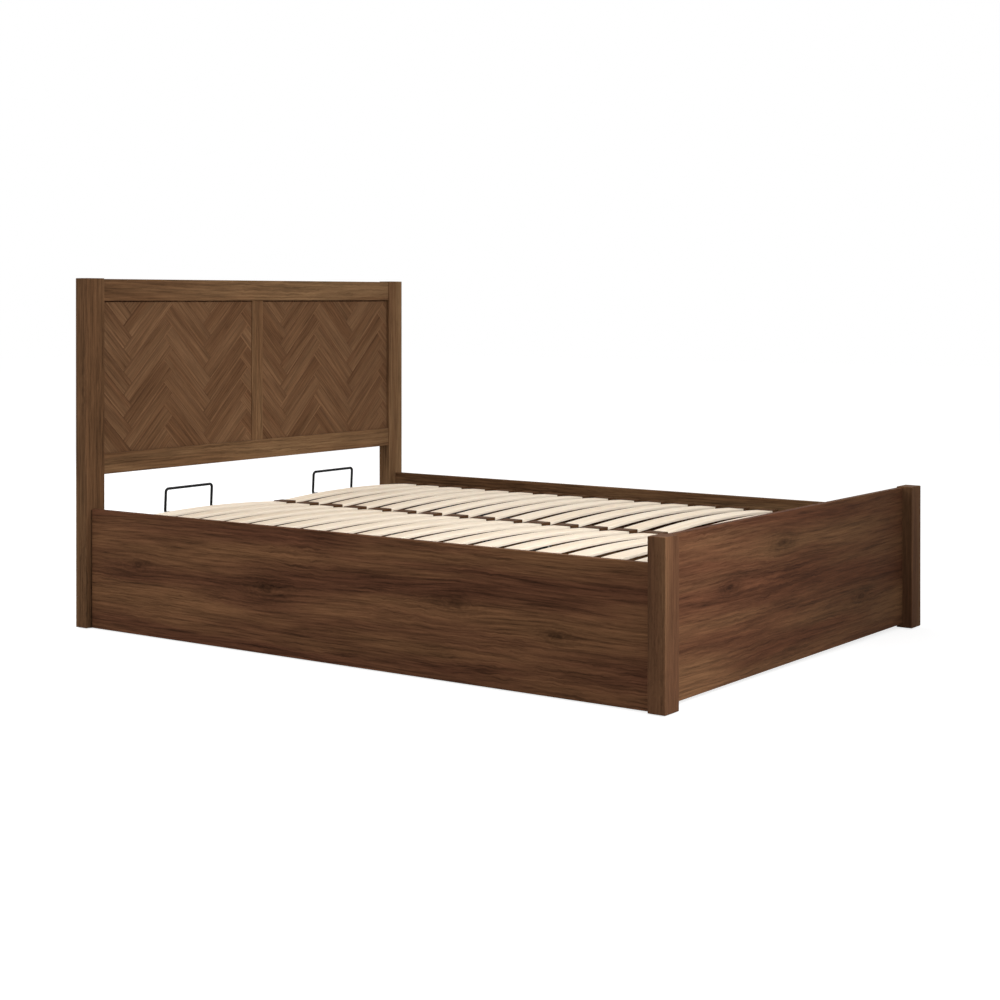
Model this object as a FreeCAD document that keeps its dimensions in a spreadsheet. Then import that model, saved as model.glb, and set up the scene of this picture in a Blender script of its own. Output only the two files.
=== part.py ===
import FreeCAD, Part
import math
import os
import Sketcher
from FreeCAD import Placement, Rotation, Vector

# Ottoman bed: a panelled bed frame whose slatted platform lifts over a storage box.
# +X points to the right seen from the foot end, +Y towards the headboard and +Z up.
# The origin is on the floor under the middle of the bed.

SIZES = {
    # Overall
    "bed_width": 1440,
    "bed_length": 1990,
    "headboard_height": 1015,
    "foot_post_height": 411,
    # Posts and glides
    "head_post_width": 70,
    "head_post_depth": 45,
    "foot_post_width": 63,
    "foot_post_depth": 48,
    "post_edge_radius": 2,
    "glide_height": 3,
    "glide_radius": 15,
    # Boards
    "board_thickness": 18,
    "board_edge_radius": 1.2,
    "side_panel_top": 346,
    "side_panel_inset": 18,
    "shadow_gap_width": 4,
    "shadow_gap_depth": 8,
    "footboard_setback": 29,
    "footboard_drop": 3,
    "footboard_floor_gap": 14,
    "head_panel_top": 297,
    # Headboard
    "rail_thickness": 30,
    "rail_setback": 4,
    "rail_top_drop": 2,
    "top_rail_height": 64,
    "bottom_rail_height": 60,
    "bottom_rail_underside": 443,
    "mullion_width": 50,
    "mullion_setback": 5,
    "panel_thickness": 9,
    "panel_recess": 11,
    "groove_depth": 8,
    "groove_clearance": 0.2,
    # Herringbone boards on the headboard panels
    "strip_width": 48,
    "strip_length": 232,
    "strip_thickness": 3,
    "strip_gap": 0.8,
    "first_valley": 100,
    # Ledges that carry the closed platform
    "ledge_width": 30,
    "ledge_height": 27,
    "ledge_gap": 3,
    "buffer_height": 3,
    "buffer_radius": 9,
    # Storage floor
    "floor_board_thickness": 6,
    "floor_board_gap": 1,
    "floor_batten_width": 20,
    "floor_batten_height": 20,
    "floor_batten_base": 10,
    "centre_batten_width": 40,
    "centre_foot_radius": 14,
    # Corner brackets
    "bracket_leg": 26,
    "bracket_thickness": 2.5,
    "bracket_height": 120,
    "bracket_base": 80,
    # Screws
    "screw_head_radius": 4.5,
    "screw_head_height": 2,
    "screw_shank_radius": 2,
    "screw_length": 14,
    "screw_clearance": 0.05,
    # Lifting platform
    "platform_underside": 257,
    "tube_height": 40,
    "tube_width": 20,
    "tube_wall": 1.5,
    "platform_foot_gap": 7,
    "platform_head_gap": 15,
    "plug_flange": 2,
    "plug_depth": 12,
    # Sprung slats and their holders
    "slat_width": 53,
    "slat_thickness": 8,
    "slat_bow": 13,
    "slat_pitch": 98,
    "slat_first": 93,
    "slat_last_margin": 60,
    "slat_end_gap": 12,
    "holder_floor": 8,
    "holder_wall": 2,
    "holder_clearance": 0.3,
    "centre_holder_length": 42,
    "outer_holder_length": 36,
    "holder_edge_radius": 1.5,
    # Mattress retainers
    "wire_radius": 4,
    "wire_bend": 10,
    "retainer_width": 201,
    "retainer_offset": 331,
    "retainer_top": 387,
    "retainer_lean": 4,
    "retainer_foot": 20,
    "retainer_inset": 2,
    "clamp_base": 9,
    "clamp_width": 16,
    "clamp_length": 9,
    "clamp_inset": 10,
    # Lift mechanism
    "pivot_from_head": 594,
    "pivot_z": 150,
    "short_pivot_back": 47,
    "short_pivot_rise": 49.5,
    "long_arm_run": 379,
    "long_arm_rise": 62,
    "top_pivot_back": 43,
    "top_pivot_rise": 21,
    "strut_pivot_run": 44,
    "strut_pivot_drop": 80,
    "strut_lug_distance": 300,
    "base_plate_thickness": 4,
    "base_plate_margin": 24,
    "plate_corner_radius": 8,
    "screw_inset": 10,
    "long_arm_radius": 13,
    "short_arm_radius": 11,
    "arm_thickness": 5,
    "top_plate_thickness": 5,
    "top_plate_eye": 16,
    "top_plate_reach": 70,
    "top_plate_overhang": 25,
    "top_plate_flange": 33,
    "layer_gap": 1,
    "pin_radius": 5,
    "pin_clearance": 0.05,
    "pin_head_radius": 8.5,
    "pin_head_height": 2.5,
    "pin_head_gap": 0.3,
    "bolt_radius": 4,
    "bolt_head_radius": 7,
    "bolt_head_height": 4,
    "bolt_inset": 15,
    # Gas struts
    "strut_side_gap": 1.5,
    "strut_radius": 11,
    "strut_wall": 1.5,
    "strut_end_wall": 6,
    "strut_eye_radius": 9,
    "strut_eye_width": 14,
    "strut_neck_radius": 5,
    "strut_tube_start": 18,
    "strut_tube_end": 236,
    "rod_radius": 4,
    "rod_inner_end": 60,
    "piston_length": 16,
    "slide_clearance": 0.3,
    "lug_radius": 6,
    "open_pivot_gap": 0.5,
    # One overrun for every cut
    "overrun": 2,
}
FLOOR_BOARDS = 4
LEAN = 45

doc = FreeCAD.newDocument("ottoman_bed")
sheet = doc.addObject("Spreadsheet::Sheet", "sizes")
for row, (name, number) in enumerate(SIZES.items(), start=1):
    sheet.set(f"A{row}", name)
    sheet.set(f"B{row}", str(number))
    sheet.setAlias(f"B{row}", name)
doc.recompute()


class Size:
    """A length that is known both as a number and as the formula behind it."""

    def __init__(self, value, text):
        self.value = value
        self.text = text

    def __add__(self, other):
        other = as_size(other)
        return Size(self.value + other.value, f"({self.text} + {other.text})")

    def __radd__(self, other):
        return as_size(other) + self

    def __sub__(self, other):
        other = as_size(other)
        return Size(self.value - other.value, f"({self.text} - {other.text})")

    def __rsub__(self, other):
        return as_size(other) - self

    def __mul__(self, other):
        other = as_size(other)
        return Size(self.value * other.value, f"({self.text} * {other.text})")

    def __rmul__(self, other):
        return as_size(other) * self

    def __truediv__(self, other):
        other = as_size(other)
        return Size(self.value / other.value, f"({self.text} / {other.text})")

    def __neg__(self):
        return Size(-self.value, f"(0 - {self.text})")


def as_size(number):
    return number if isinstance(number, Size) else Size(number, repr(number))


def root(size):
    return Size(math.sqrt(size.value), f"sqrt({size.text})")


class NamedSizes:
    """The named sizes, as attributes."""

    def __init__(self, names):
        for name in names:
            setattr(self, name, Size(float(sheet.get(name)), f"sizes.{name}"))


d = NamedSizes(SIZES)
parts = []
SIDES = (("left", -1), ("right", 1))
ALONG_X = Rotation(Vector(0, 1, 0), 90)


def keep(thing, label):
    """Name a finished sub-part and list it for export."""
    thing.Label = label
    parts.append(thing)
    return thing


def bind(thing, **sizes):
    for prop, size in sizes.items():
        thing.setExpression(prop, as_size(size).text)


def point(x, y, z):
    return Vector(as_size(x).value, as_size(y).value, as_size(z).value)


def place(thing, x, y, z, rotation=None):
    """Put a sub-part's own origin at a point of the bed, bound to the sheet."""
    thing.Placement = Placement(point(x, y, z), rotation or Rotation())
    for axis, size in zip("xyz", (x, y, z)):
        thing.setExpression(f"Placement.Base.{axis}", as_size(size).text)
    return thing


def low_of(side, near, far):
    """The lower X of something that lies between two distances from the middle."""
    return near if side > 0 else -far


def new_body(label):
    return doc.addObject("PartDesign::Body", label)


def new_sketch(body, plane, name="outline"):
    sketch = body.newObject("Sketcher::SketchObject", name)
    for feature in body.Origin.OriginFeatures:
        if feature.Role == plane:
            sketch.AttachmentSupport = [(feature, "")]
    sketch.MapMode = "FlatFace"
    return sketch


def dimension(sketch, kind, *references, size):
    """Add one driving dimension to a sketch and bind it to the sheet."""
    size = as_size(size)
    index = sketch.addConstraint(Sketcher.Constraint(kind, *references, size.value))
    sketch.setExpression(f"Constraints[{index}]", size.text)


def locate(sketch, index, end, across, along):
    """Hold one point of a sketch at its distances from the sketch's origin."""
    if as_size(across).value == 0:
        sketch.addConstraint(Sketcher.Constraint("PointOnObject", index, end, -2))
    else:
        dimension(sketch, "DistanceX", -1, 1, index, end, size=across)
    if as_size(along).value == 0:
        sketch.addConstraint(Sketcher.Constraint("PointOnObject", index, end, -1))
    else:
        dimension(sketch, "DistanceY", -1, 1, index, end, size=along)


def polygon(sketch, points):
    """A closed outline of straight edges through points measured from the sketch's origin."""
    corners = [(as_size(across), as_size(along)) for across, along in points]
    count = len(corners)
    first = sketch.GeometryCount
    for index in range(count):
        start = corners[index]
        end = corners[(index + 1) % count]
        sketch.addGeometry(Part.LineSegment(Vector(start[0].value, start[1].value, 0),
                                            Vector(end[0].value, end[1].value, 0)))
    for index in range(count):
        following = first + (index + 1) % count
        sketch.addConstraint(Sketcher.Constraint("Coincident", first + index, 2, following, 1))
    for index, (across, along) in enumerate(corners):
        locate(sketch, first + index, 1, across, along)


def circle(sketch, across, along, radius):
    """A circle whose centre is measured from the sketch's origin."""
    centre = Vector(as_size(across).value, as_size(along).value, 0)
    index = sketch.addGeometry(Part.Circle(centre, Vector(0, 0, 1), as_size(radius).value))
    locate(sketch, index, 3, across, along)
    dimension(sketch, "Radius", index, size=radius)


def slot(sketch, run, rise, radius):
    """A bar with round ends, from the sketch's origin to a point at a run and a rise."""
    far = Vector(run.value, rise.value, 0)
    normal = Vector(-rise.value, run.value, 0).normalize() * radius.value
    heading = math.atan2(rise.value, run.value)
    quarter = math.pi / 2
    near_circle = Part.Circle(Vector(), Vector(0, 0, 1), radius.value)
    far_circle = Part.Circle(far, Vector(0, 0, 1), radius.value)
    sketch.addGeometry(Part.ArcOfCircle(near_circle, heading + quarter, heading + 3 * quarter))
    sketch.addGeometry(Part.LineSegment(-normal, far - normal))
    sketch.addGeometry(Part.ArcOfCircle(far_circle, heading - quarter, heading + quarter))
    sketch.addGeometry(Part.LineSegment(far + normal, normal))
    for index in range(4):
        sketch.addConstraint(Sketcher.Constraint("Tangent", index, 2, (index + 1) % 4, 1))
    sketch.addConstraint(Sketcher.Constraint("Coincident", 0, 3, -1, 1))
    locate(sketch, 2, 3, run, rise)
    dimension(sketch, "Radius", 0, size=radius)


def pad(body, sketch, length, backwards=False, middle=False):
    feature = body.newObject("PartDesign::Pad", "pad")
    feature.Profile = sketch
    feature.Reversed = backwards
    feature.Midplane = middle
    bind(feature, Length=length)
    sketch.Visibility = False
    return feature


def turn(body, sketch, axis):
    """Revolve a half profile about one of its sketch's own axes."""
    feature = body.newObject("PartDesign::Revolution", "turned")
    feature.Profile = sketch
    feature.ReferenceAxis = (sketch, [axis])
    feature.Angle = 360
    sketch.Visibility = False
    return feature


def soften(body, radius, chosen=None):
    """Round the edges of the body so far, or those that a test picks out."""
    doc.recompute()
    base = body.Tip
    names = [f"Edge{index}" for index, edge in enumerate(base.Shape.Edges, start=1)
             if chosen is None or chosen(edge)]
    feature = body.newObject("PartDesign::Fillet", "soft_edges")
    feature.Base = (base, names)
    bind(feature, Radius=radius)
    return feature


def runs_along(axis):
    """A test for straight edges that run along one axis."""
    def test(edge):
        return abs(getattr(edge.tangentAt(edge.FirstParameter), axis)) > math.cos(math.pi / 4)
    return test


def off_the_base(edge):
    return edge.CenterOfMass.z > d.holder_floor.value / 2


def board(label, corner, size, radius=None, chosen=None):
    """A rectangular board with eased edges, from its low corner and its three sizes."""
    body = new_body(label)
    sketch = new_sketch(body, "XY_Plane")
    polygon(sketch, [(0, 0), (size[0], 0), (size[0], size[1]), (0, size[1])])
    pad(body, sketch, size[2])
    if radius is not None:
        soften(body, radius, chosen)
    return place(body, *corner)


def block(label, corner, size):
    """A plain square-edged block."""
    thing = doc.addObject("Part::Box", label)
    bind(thing, Length=size[0], Width=size[1], Height=size[2])
    return place(thing, *corner)


def bore(label, centre, radius, length, rotation=None):
    """A round cutter that starts at a point and runs along its own axis."""
    thing = doc.addObject("Part::Cylinder", label)
    bind(thing, Radius=radius, Height=length)
    return place(thing, *centre, rotation)


def subtract(label, base, tools):
    """Cut tools out of a finished piece and give the result its name."""
    if len(tools) == 1:
        tool = tools[0]
    else:
        tool = doc.addObject("Part::MultiFuse", f"{label}_tools")
        tool.Shapes = tools
    cut = doc.addObject("Part::Cut", f"{label}_cut")
    cut.Base = base
    cut.Tool = tool
    base.Label = f"{label}_blank"
    return keep(cut, label)


def group(label, things):
    """Finished pieces of one kind, kept as one sub-part of separate solids."""
    thing = doc.addObject("Part::Compound", f"{label}_group")
    thing.Links = things
    for member in things:
        if member in parts:
            parts.remove(member)
    return keep(thing, label)


def array(label, master, spots):
    """Copies of one solid at several places, kept as one sub-part of separate solids."""
    doc.recompute()
    copies = []
    for spot in spots:
        copy = master.Shape.copy()
        copy.translate(point(*spot))
        copies.append(copy)
    thing = doc.addObject("Part::Feature", label)
    thing.Shape = Part.makeCompound(copies)
    return keep(thing, label)


# Places that several pieces share
half_width = d.bed_width / 2
half_length = d.bed_length / 2
head_face = half_length - d.head_post_depth
foot_face = d.foot_post_depth - half_length
panel_face = half_width - d.side_panel_inset - d.board_thickness
footboard_face = d.footboard_setback + d.board_thickness - half_length
head_gap_half = half_width - d.head_post_width
foot_gap_half = half_width - d.foot_post_width

# The lift's layers, from the side panel towards the middle of the bed
plate_face = panel_face - d.base_plate_thickness
arm_outer = plate_face - d.layer_gap
arm_inner = arm_outer - d.arm_thickness
top_plate_outer = arm_inner - d.layer_gap
platform_half = top_plate_outer - d.top_plate_thickness
strut_centre = arm_inner - d.strut_side_gap - d.strut_radius

# The lift's pivots, seen from the side
pivot_y = head_face - d.pivot_from_head
short_pivot_y = pivot_y - d.short_pivot_back
short_pivot_z = d.pivot_z + d.short_pivot_rise
top_pivot_y = pivot_y + d.long_arm_run
top_pivot_z = d.pivot_z + d.long_arm_rise
follow_pivot_y = top_pivot_y - d.top_pivot_back
follow_pivot_z = top_pivot_z + d.top_pivot_rise
short_arm_run = follow_pivot_y - short_pivot_y
short_arm_rise = follow_pivot_z - short_pivot_z
strut_pivot_y = pivot_y + d.strut_pivot_run
strut_pivot_z = d.pivot_z - d.strut_pivot_drop
long_arm_length = root(d.long_arm_run * d.long_arm_run + d.long_arm_rise * d.long_arm_rise)
lug_run = d.long_arm_run * d.strut_lug_distance / long_arm_length
lug_rise = d.long_arm_rise * d.strut_lug_distance / long_arm_length
strut_run = lug_run - d.strut_pivot_run
strut_rise = lug_rise + d.strut_pivot_drop
strut_length = root(strut_run * strut_run + strut_rise * strut_rise)

# The lifting platform
platform_head = head_face - d.platform_head_gap
platform_foot = footboard_face + d.platform_foot_gap
platform_length = platform_head - platform_foot
platform_top = d.platform_underside + d.tube_height
rail_inner = platform_half - d.tube_width


def screws(label, spots):
    """Flat-domed screws, each from the face that its head sits on along a direction."""
    solids = []
    for x, y, z, direction in spots:
        seat = point(x, y, z)
        head = Part.makeCone(d.screw_head_radius.value, d.screw_shank_radius.value,
                             d.screw_head_height.value, seat, -direction)
        shank = Part.makeCylinder(d.screw_shank_radius.value, d.screw_length.value, seat, direction)
        solids.append(head.fuse(shank))
    thing = doc.addObject("Part::Feature", label)
    thing.Shape = Part.makeCompound(solids)
    return keep(thing, label)


def screw_holes(label, spots):
    """The cutters for those screws, which run past every piece they pass through."""
    radius = d.screw_shank_radius + d.screw_clearance
    tools = []
    for number, (x, y, z, direction) in enumerate(spots):
        turned = Rotation(Vector(0, 0, 1), direction)
        tools.append(bore(f"{label}_hole_{number}", (x, y, z), radius,
                          d.screw_length + d.screw_clearance, turned))
    return tools


# Posts, side panels and footboard, joined by steel brackets inside the four corners
def bracket_spots(side, face, away):
    """Screw places of one corner bracket: two into the side panel, two into the post."""
    across = panel_face - d.bracket_thickness
    into_panel = Vector(side, 0, 0)
    into_post = Vector(0, away, 0)
    leg_middle = (d.bracket_leg + d.bracket_thickness) / 2
    spots = {"panel": [], "post": []}
    for share in BRACKET_SCREW_SHARES:
        height = d.bracket_base + d.bracket_height * share
        spots["panel"].append((across * side, face - leg_middle * away, height, into_panel))
        spots["post"].append(((panel_face - leg_middle) * side, face - d.bracket_thickness * away,
                              height, into_post))
    return spots


def bracket(label, side, face, away):
    """A steel angle whose legs lie on the side panel and on the post's face."""
    body = new_body(f"{label}_angle")
    sketch = new_sketch(body, "XY_Plane")
    leg = d.bracket_leg
    thick = d.bracket_thickness
    corners = [(0, 0), (leg, 0), (leg, thick), (thick, thick), (thick, leg), (0, leg)]
    polygon(sketch, [(across * -side, along * -away) for across, along in corners])
    pad(body, sketch, d.bracket_height)
    return place(body, panel_face * side, face, d.bracket_base)


BRACKET_SCREW_SHARES = (0.2, 0.8)
CORNERS = [(end, word, side, face, away)
           for end, face, away in (("head", head_face, 1), ("foot", foot_face, -1))
           for word, side in SIDES]
corner_spots = {}
brackets = []
for end, word, side, face, away in CORNERS:
    spots = bracket_spots(side, face, away)
    corner_spots[end, word] = spots
    angle = bracket(f"{end}_{word}", side, face, away)
    every_hole = screw_holes(f"bracket_{end}_{word}", spots["panel"] + spots["post"])
    brackets.append(subtract(f"corner_bracket_{end}_{word}", angle, every_hole))
group("corner_brackets", brackets)

POSTS = {"head": (d.head_post_width, d.head_post_depth, head_face, d.headboard_height),
         "foot": (d.foot_post_width, d.foot_post_depth, -half_length, d.foot_post_height)}
for end, (width, depth, low_y, top) in POSTS.items():
    for word, side in SIDES:
        label = f"{end}_post_{word}"
        low_x = low_of(side, half_width - width, half_width)
        post = board(label, (low_x, low_y, d.glide_height), (width, depth, top - d.glide_height),
                     d.post_edge_radius)
        subtract(label, post, screw_holes(label, corner_spots[end, word]["post"]))

glide = bore("glide", (0, 0, 0), d.glide_radius, d.glide_height)
array("post_glides", glide,
      [(side * (half_width - width / 2), low_y + depth / 2, 0)
       for width, depth, low_y, top in POSTS.values() for word, side in SIDES])

# Each base plate is screwed to its side panel along its lower edge and its foot-end edge
plate_left = -(d.short_pivot_back + d.base_plate_margin)
plate_right = d.strut_pivot_run + d.base_plate_margin
plate_bottom = -(d.strut_pivot_drop + d.base_plate_margin)
plate_top = d.short_pivot_rise + d.base_plate_margin
PLATE_SCREWS = [(plate_left + d.screw_inset, plate_bottom + d.screw_inset),
                ((plate_left + plate_right) / 2, plate_bottom + d.screw_inset),
                (plate_right - d.screw_inset, plate_bottom + d.screw_inset),
                (plate_left + d.screw_inset, (plate_bottom + plate_top) / 2),
                (plate_left + d.screw_inset, plate_top - d.screw_inset)]


def plate_spots(side):
    return [(plate_face * side, pivot_y + across, d.pivot_z + along, Vector(side, 0, 0))
            for across, along in PLATE_SCREWS]


# A narrow groove down each end of a side panel draws a shadow line beside the post
panel_outside = panel_face + d.board_thickness
for word, side in SIDES:
    label = f"side_panel_{word}"
    panel = board(label, (low_of(side, panel_face, panel_outside), foot_face, d.glide_height),
                  (d.board_thickness, head_face - foot_face, d.side_panel_top - d.glide_height),
                  d.board_edge_radius)
    spots = plate_spots(side) + corner_spots["head", word]["panel"] + corner_spots["foot", word]["panel"]
    shadow_gaps = [block(f"{label}_shadow_gap_{end}",
                         (low_of(side, panel_outside - d.shadow_gap_depth, panel_outside + d.overrun),
                          low_y, d.glide_height - d.overrun),
                         (d.shadow_gap_depth + d.overrun, d.shadow_gap_width + d.overrun,
                          d.side_panel_top - d.glide_height + 2 * d.overrun))
                   for end, low_y in (("foot", foot_face - d.overrun),
                                      ("head", head_face - d.shadow_gap_width))]
    subtract(label, panel, screw_holes(label, spots) + shadow_gaps)

keep(board("footboard", (-foot_gap_half, footboard_face - d.board_thickness, d.footboard_floor_gap),
           (2 * foot_gap_half, d.board_thickness,
            d.foot_post_height - d.footboard_drop - d.footboard_floor_gap), d.board_edge_radius),
     "footboard")
keep(board("head_cross_panel", (-head_gap_half, head_face, d.glide_height),
           (2 * head_gap_half, d.board_thickness, d.head_panel_top - d.glide_height),
           d.board_edge_radius), "head_cross_panel")

# Headboard: two rails and a mullion, grooved for the panels
rail_front = head_face + d.rail_setback
rail_top = d.headboard_height - d.rail_top_drop
opening_top = rail_top - d.top_rail_height
opening_bottom = d.bottom_rail_underside + d.bottom_rail_height
opening_height = opening_top - opening_bottom
panel_front = rail_front + d.panel_recess
groove_front = panel_front - d.groove_clearance
groove_width = d.panel_thickness + 2 * d.groove_clearance
HEAD_RAILS = (("top", opening_top, d.top_rail_height, opening_top - d.overrun),
              ("bottom", d.bottom_rail_underside, d.bottom_rail_height, opening_bottom - d.groove_depth))
for word, low_z, height, groove_z in HEAD_RAILS:
    label = f"headboard_{word}_rail"
    rail = board(label, (-head_gap_half, rail_front, low_z),
                 (2 * head_gap_half, d.rail_thickness, height), d.board_edge_radius, runs_along("x"))
    groove = block(f"{label}_groove", (-head_gap_half - d.overrun, groove_front, groove_z),
                   (2 * (head_gap_half + d.overrun), groove_width, d.groove_depth + d.overrun))
    subtract(label, rail, [groove])

mullion_half = d.mullion_width / 2
mullion = board("headboard_mullion", (-mullion_half, rail_front + d.mullion_setback, opening_bottom),
                (d.mullion_width, d.rail_thickness - d.mullion_setback, opening_height),
                d.board_edge_radius, runs_along("z"))
subtract("headboard_mullion", mullion,
         [block(f"mullion_groove_{word}",
                (low_of(side, mullion_half - d.groove_depth, mullion_half + d.overrun),
                 groove_front, opening_bottom - d.overrun),
                (d.groove_depth + d.overrun, groove_width, opening_height + 2 * d.overrun))
          for word, side in SIDES])

# Each panel's tongues sit in both rails and the mullion, and its outer edge meets the post
tongue = d.groove_depth - d.groove_clearance
panel_near = mullion_half - tongue
for word, side in SIDES:
    keep(block(f"headboard_panel_{word}",
               (low_of(side, panel_near, head_gap_half), panel_front, opening_bottom - tongue),
               (head_gap_half - panel_near, d.panel_thickness, opening_height + 2 * tongue)),
         f"headboard_panel_{word}")


def herringbone(label, low_x, width):
    """Short boards in interlocked rows that lean left and right, trimmed to one panel.

    In a frame turned by the lean, one kind of board lies along the first axis and the other
    along the second. Each row steps on by one board width both ways, and each pair of
    columns by one board length, so every end meets the side of the next board.
    """
    board_width = d.strip_width.value
    length = d.strip_length.value
    gap = d.strip_gap.value
    front = (panel_front - d.strip_thickness).value
    height = opening_height.value
    base = opening_bottom.value
    column = length * math.sin(math.radians(LEAN))
    step = board_width / math.sin(math.radians(LEAN))
    start = low_x.value + d.first_valley.value + step / 4
    field = Part.makeBox(width.value, d.strip_thickness.value, height,
                         Vector(low_x.value, front, base))
    pairs = math.ceil(width.value / (2 * column)) + 1
    rows = math.ceil((height + 2 * column) / step)
    solids = []
    for pair in range(-1, pairs):
        for row in range(-rows, rows + 1):
            first = row * board_width + pair * length
            second = row * board_width - pair * length
            rising = (first, second, length, board_width)
            falling = (first + length, second + board_width - length, board_width, length)
            for along, across, run, rise in (rising, falling):
                strip = Part.makeBox(run - gap, d.strip_thickness.value, rise - gap,
                                     Vector(along, 0, across))
                strip.rotate(Vector(), Vector(0, 1, 0), -LEAN)
                strip.translate(Vector(start, front, base))
                if strip.BoundBox.intersect(field.BoundBox):
                    solids += strip.common(field).Solids
    thing = doc.addObject("Part::Feature", label)
    thing.Shape = Part.makeCompound([solid for solid in solids if solid.Volume > board_width * gap])
    return keep(thing, label)


for word, side in SIDES:
    herringbone(f"herringbone_{word}", as_size(low_of(side, mullion_half, head_gap_half)),
                head_gap_half - mullion_half)

# Ledges inside the box, with rubber buffers that the closed platform lies on
ledge_top = d.platform_underside - d.buffer_height
ledge_base = ledge_top - d.ledge_height
side_ledge_inner = panel_face - d.ledge_width
side_ledge_end = pivot_y + plate_left - d.ledge_gap
side_ledge_start = foot_face + d.ledge_gap
side_ledge_length = side_ledge_end - side_ledge_start
for word, side in SIDES:
    keep(board(f"side_ledge_{word}",
               (low_of(side, side_ledge_inner, panel_face), side_ledge_start, ledge_base),
               (d.ledge_width, side_ledge_length, d.ledge_height),
               d.board_edge_radius), f"side_ledge_{word}")
foot_ledge_half = side_ledge_inner - d.ledge_gap
keep(board("foot_ledge", (-foot_ledge_half, footboard_face, ledge_base),
           (2 * foot_ledge_half, d.ledge_width, d.ledge_height), d.board_edge_radius), "foot_ledge")
keep(board("head_ledge", (-foot_ledge_half, head_face - d.ledge_width, ledge_base),
           (2 * foot_ledge_half, d.ledge_width, d.ledge_height), d.board_edge_radius), "head_ledge")

rail_middle = platform_half - d.tube_width / 2
BUFFER_SHARES = (0.05, 0.5, 0.95)
buffer_spots = [(side * rail_middle, side_ledge_start + side_ledge_length * share, ledge_top)
                for word, side in SIDES for share in BUFFER_SHARES]
buffer_spots += [(side * foot_ledge_half / 2, platform_head - d.tube_width / 4, ledge_top)
                 for word, side in SIDES]
buffer_spots += [(side * foot_ledge_half / 2, platform_foot + d.tube_width / 2, ledge_top)
                 for word, side in SIDES]
buffer = bore("buffer", (0, 0, 0), d.buffer_radius, d.buffer_height)
array("platform_buffers", buffer, buffer_spots)

# Storage floor: thin boards on two battens and a centre batten with feet
floor_level = d.floor_batten_base + d.floor_batten_height
box_start = footboard_face
box_length = head_face - box_start
for word, side in SIDES:
    keep(board(f"floor_batten_{word}",
               (low_of(side, panel_face - d.floor_batten_width, panel_face),
                foot_face, d.floor_batten_base),
               (d.floor_batten_width, head_face - foot_face, d.floor_batten_height),
               d.board_edge_radius), f"floor_batten_{word}")
keep(board("centre_floor_batten", (-d.centre_batten_width / 2, box_start, d.floor_batten_base),
           (d.centre_batten_width, box_length, d.floor_batten_height), d.board_edge_radius),
     "centre_floor_batten")
foot = bore("centre_foot", (0, 0, 0), d.centre_foot_radius, d.floor_batten_base)
CENTRE_FOOT_SHARES = (0.2, 0.5, 0.8)
array("centre_feet", foot, [(0, box_start + box_length * share, 0) for share in CENTRE_FOOT_SHARES])

floor_step = box_length / FLOOR_BOARDS
floor_board = board("floor_board", (0, 0, 0),
                    (2 * (panel_face - d.floor_board_gap), floor_step - 2 * d.floor_board_gap,
                     d.floor_board_thickness))
array("storage_floor_boards", floor_board,
      [(d.floor_board_gap - panel_face, box_start + floor_step * number + d.floor_board_gap, floor_level)
       for number in range(FLOOR_BOARDS)])


# Lift mechanism
def flat_plate(label, low_x, thickness, centre, points, corners, holes):
    """A steel plate standing lengthways, with rounded corners and round holes."""
    body = new_body(label)
    sketch = new_sketch(body, "YZ_Plane")
    polygon(sketch, points)
    pad(body, sketch, thickness)
    if corners is not None:
        soften(body, corners, runs_along("x"))
    punch(body, holes)
    return keep(place(body, low_x, *centre), label)


def punch(body, holes):
    """Punch round holes through a plate that was drawn on its lengthways plane."""
    sketch = new_sketch(body, "YZ_Plane", "holes")
    for across, along, radius in holes:
        circle(sketch, across, along, radius)
    feature = body.newObject("PartDesign::Pocket", "punched")
    feature.Profile = sketch
    feature.Type = "ThroughAll"
    feature.Midplane = True
    sketch.Visibility = False


def pin(label, x, y, z, side, profile):
    """A turned pin along X from a profile of distances inwards and radii."""
    body = new_body(label)
    sketch = new_sketch(body, "XY_Plane")
    polygon(sketch, [(inwards * -side, radius) for inwards, radius in profile])
    turn(body, sketch, "H_Axis")
    return place(body, x, y, z)


pin_hole = d.pin_radius + d.pin_clearance
screw_hole = d.screw_shank_radius + d.screw_clearance
pivot_holes = [(0, 0, pin_hole), (-d.short_pivot_back, d.short_pivot_rise, pin_hole),
               (d.strut_pivot_run, -d.strut_pivot_drop, pin_hole)]
plate_points = [(plate_left, plate_bottom), (plate_right, plate_bottom),
                (plate_right, d.base_plate_margin - d.strut_pivot_drop),
                (d.base_plate_margin, d.base_plate_margin),
                (d.base_plate_margin - d.short_pivot_back, plate_top), (plate_left, plate_top)]
plate_holes = pivot_holes + [(across, along, screw_hole) for across, along in PLATE_SCREWS]
for word, side in SIDES:
    flat_plate(f"lift_base_plate_{word}", low_of(side, plate_face, panel_face), d.base_plate_thickness,
               (pivot_y, d.pivot_z), plate_points, d.plate_corner_radius, plate_holes)
screws("base_plate_screws", plate_spots(-1) + plate_spots(1))
screws("bracket_screws", [spot for spots in corner_spots.values()
                          for spot in spots["panel"] + spots["post"]])


def stub(body, across, along, radius, start, length):
    """A round boss on a plate's inner or outer face, from an offset along X."""
    sketch = new_sketch(body, "YZ_Plane", "stub")
    bind(sketch, **{"AttachmentOffset.Base.z": start})
    circle(sketch, across, along, radius)
    pad(body, sketch, length)


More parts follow.
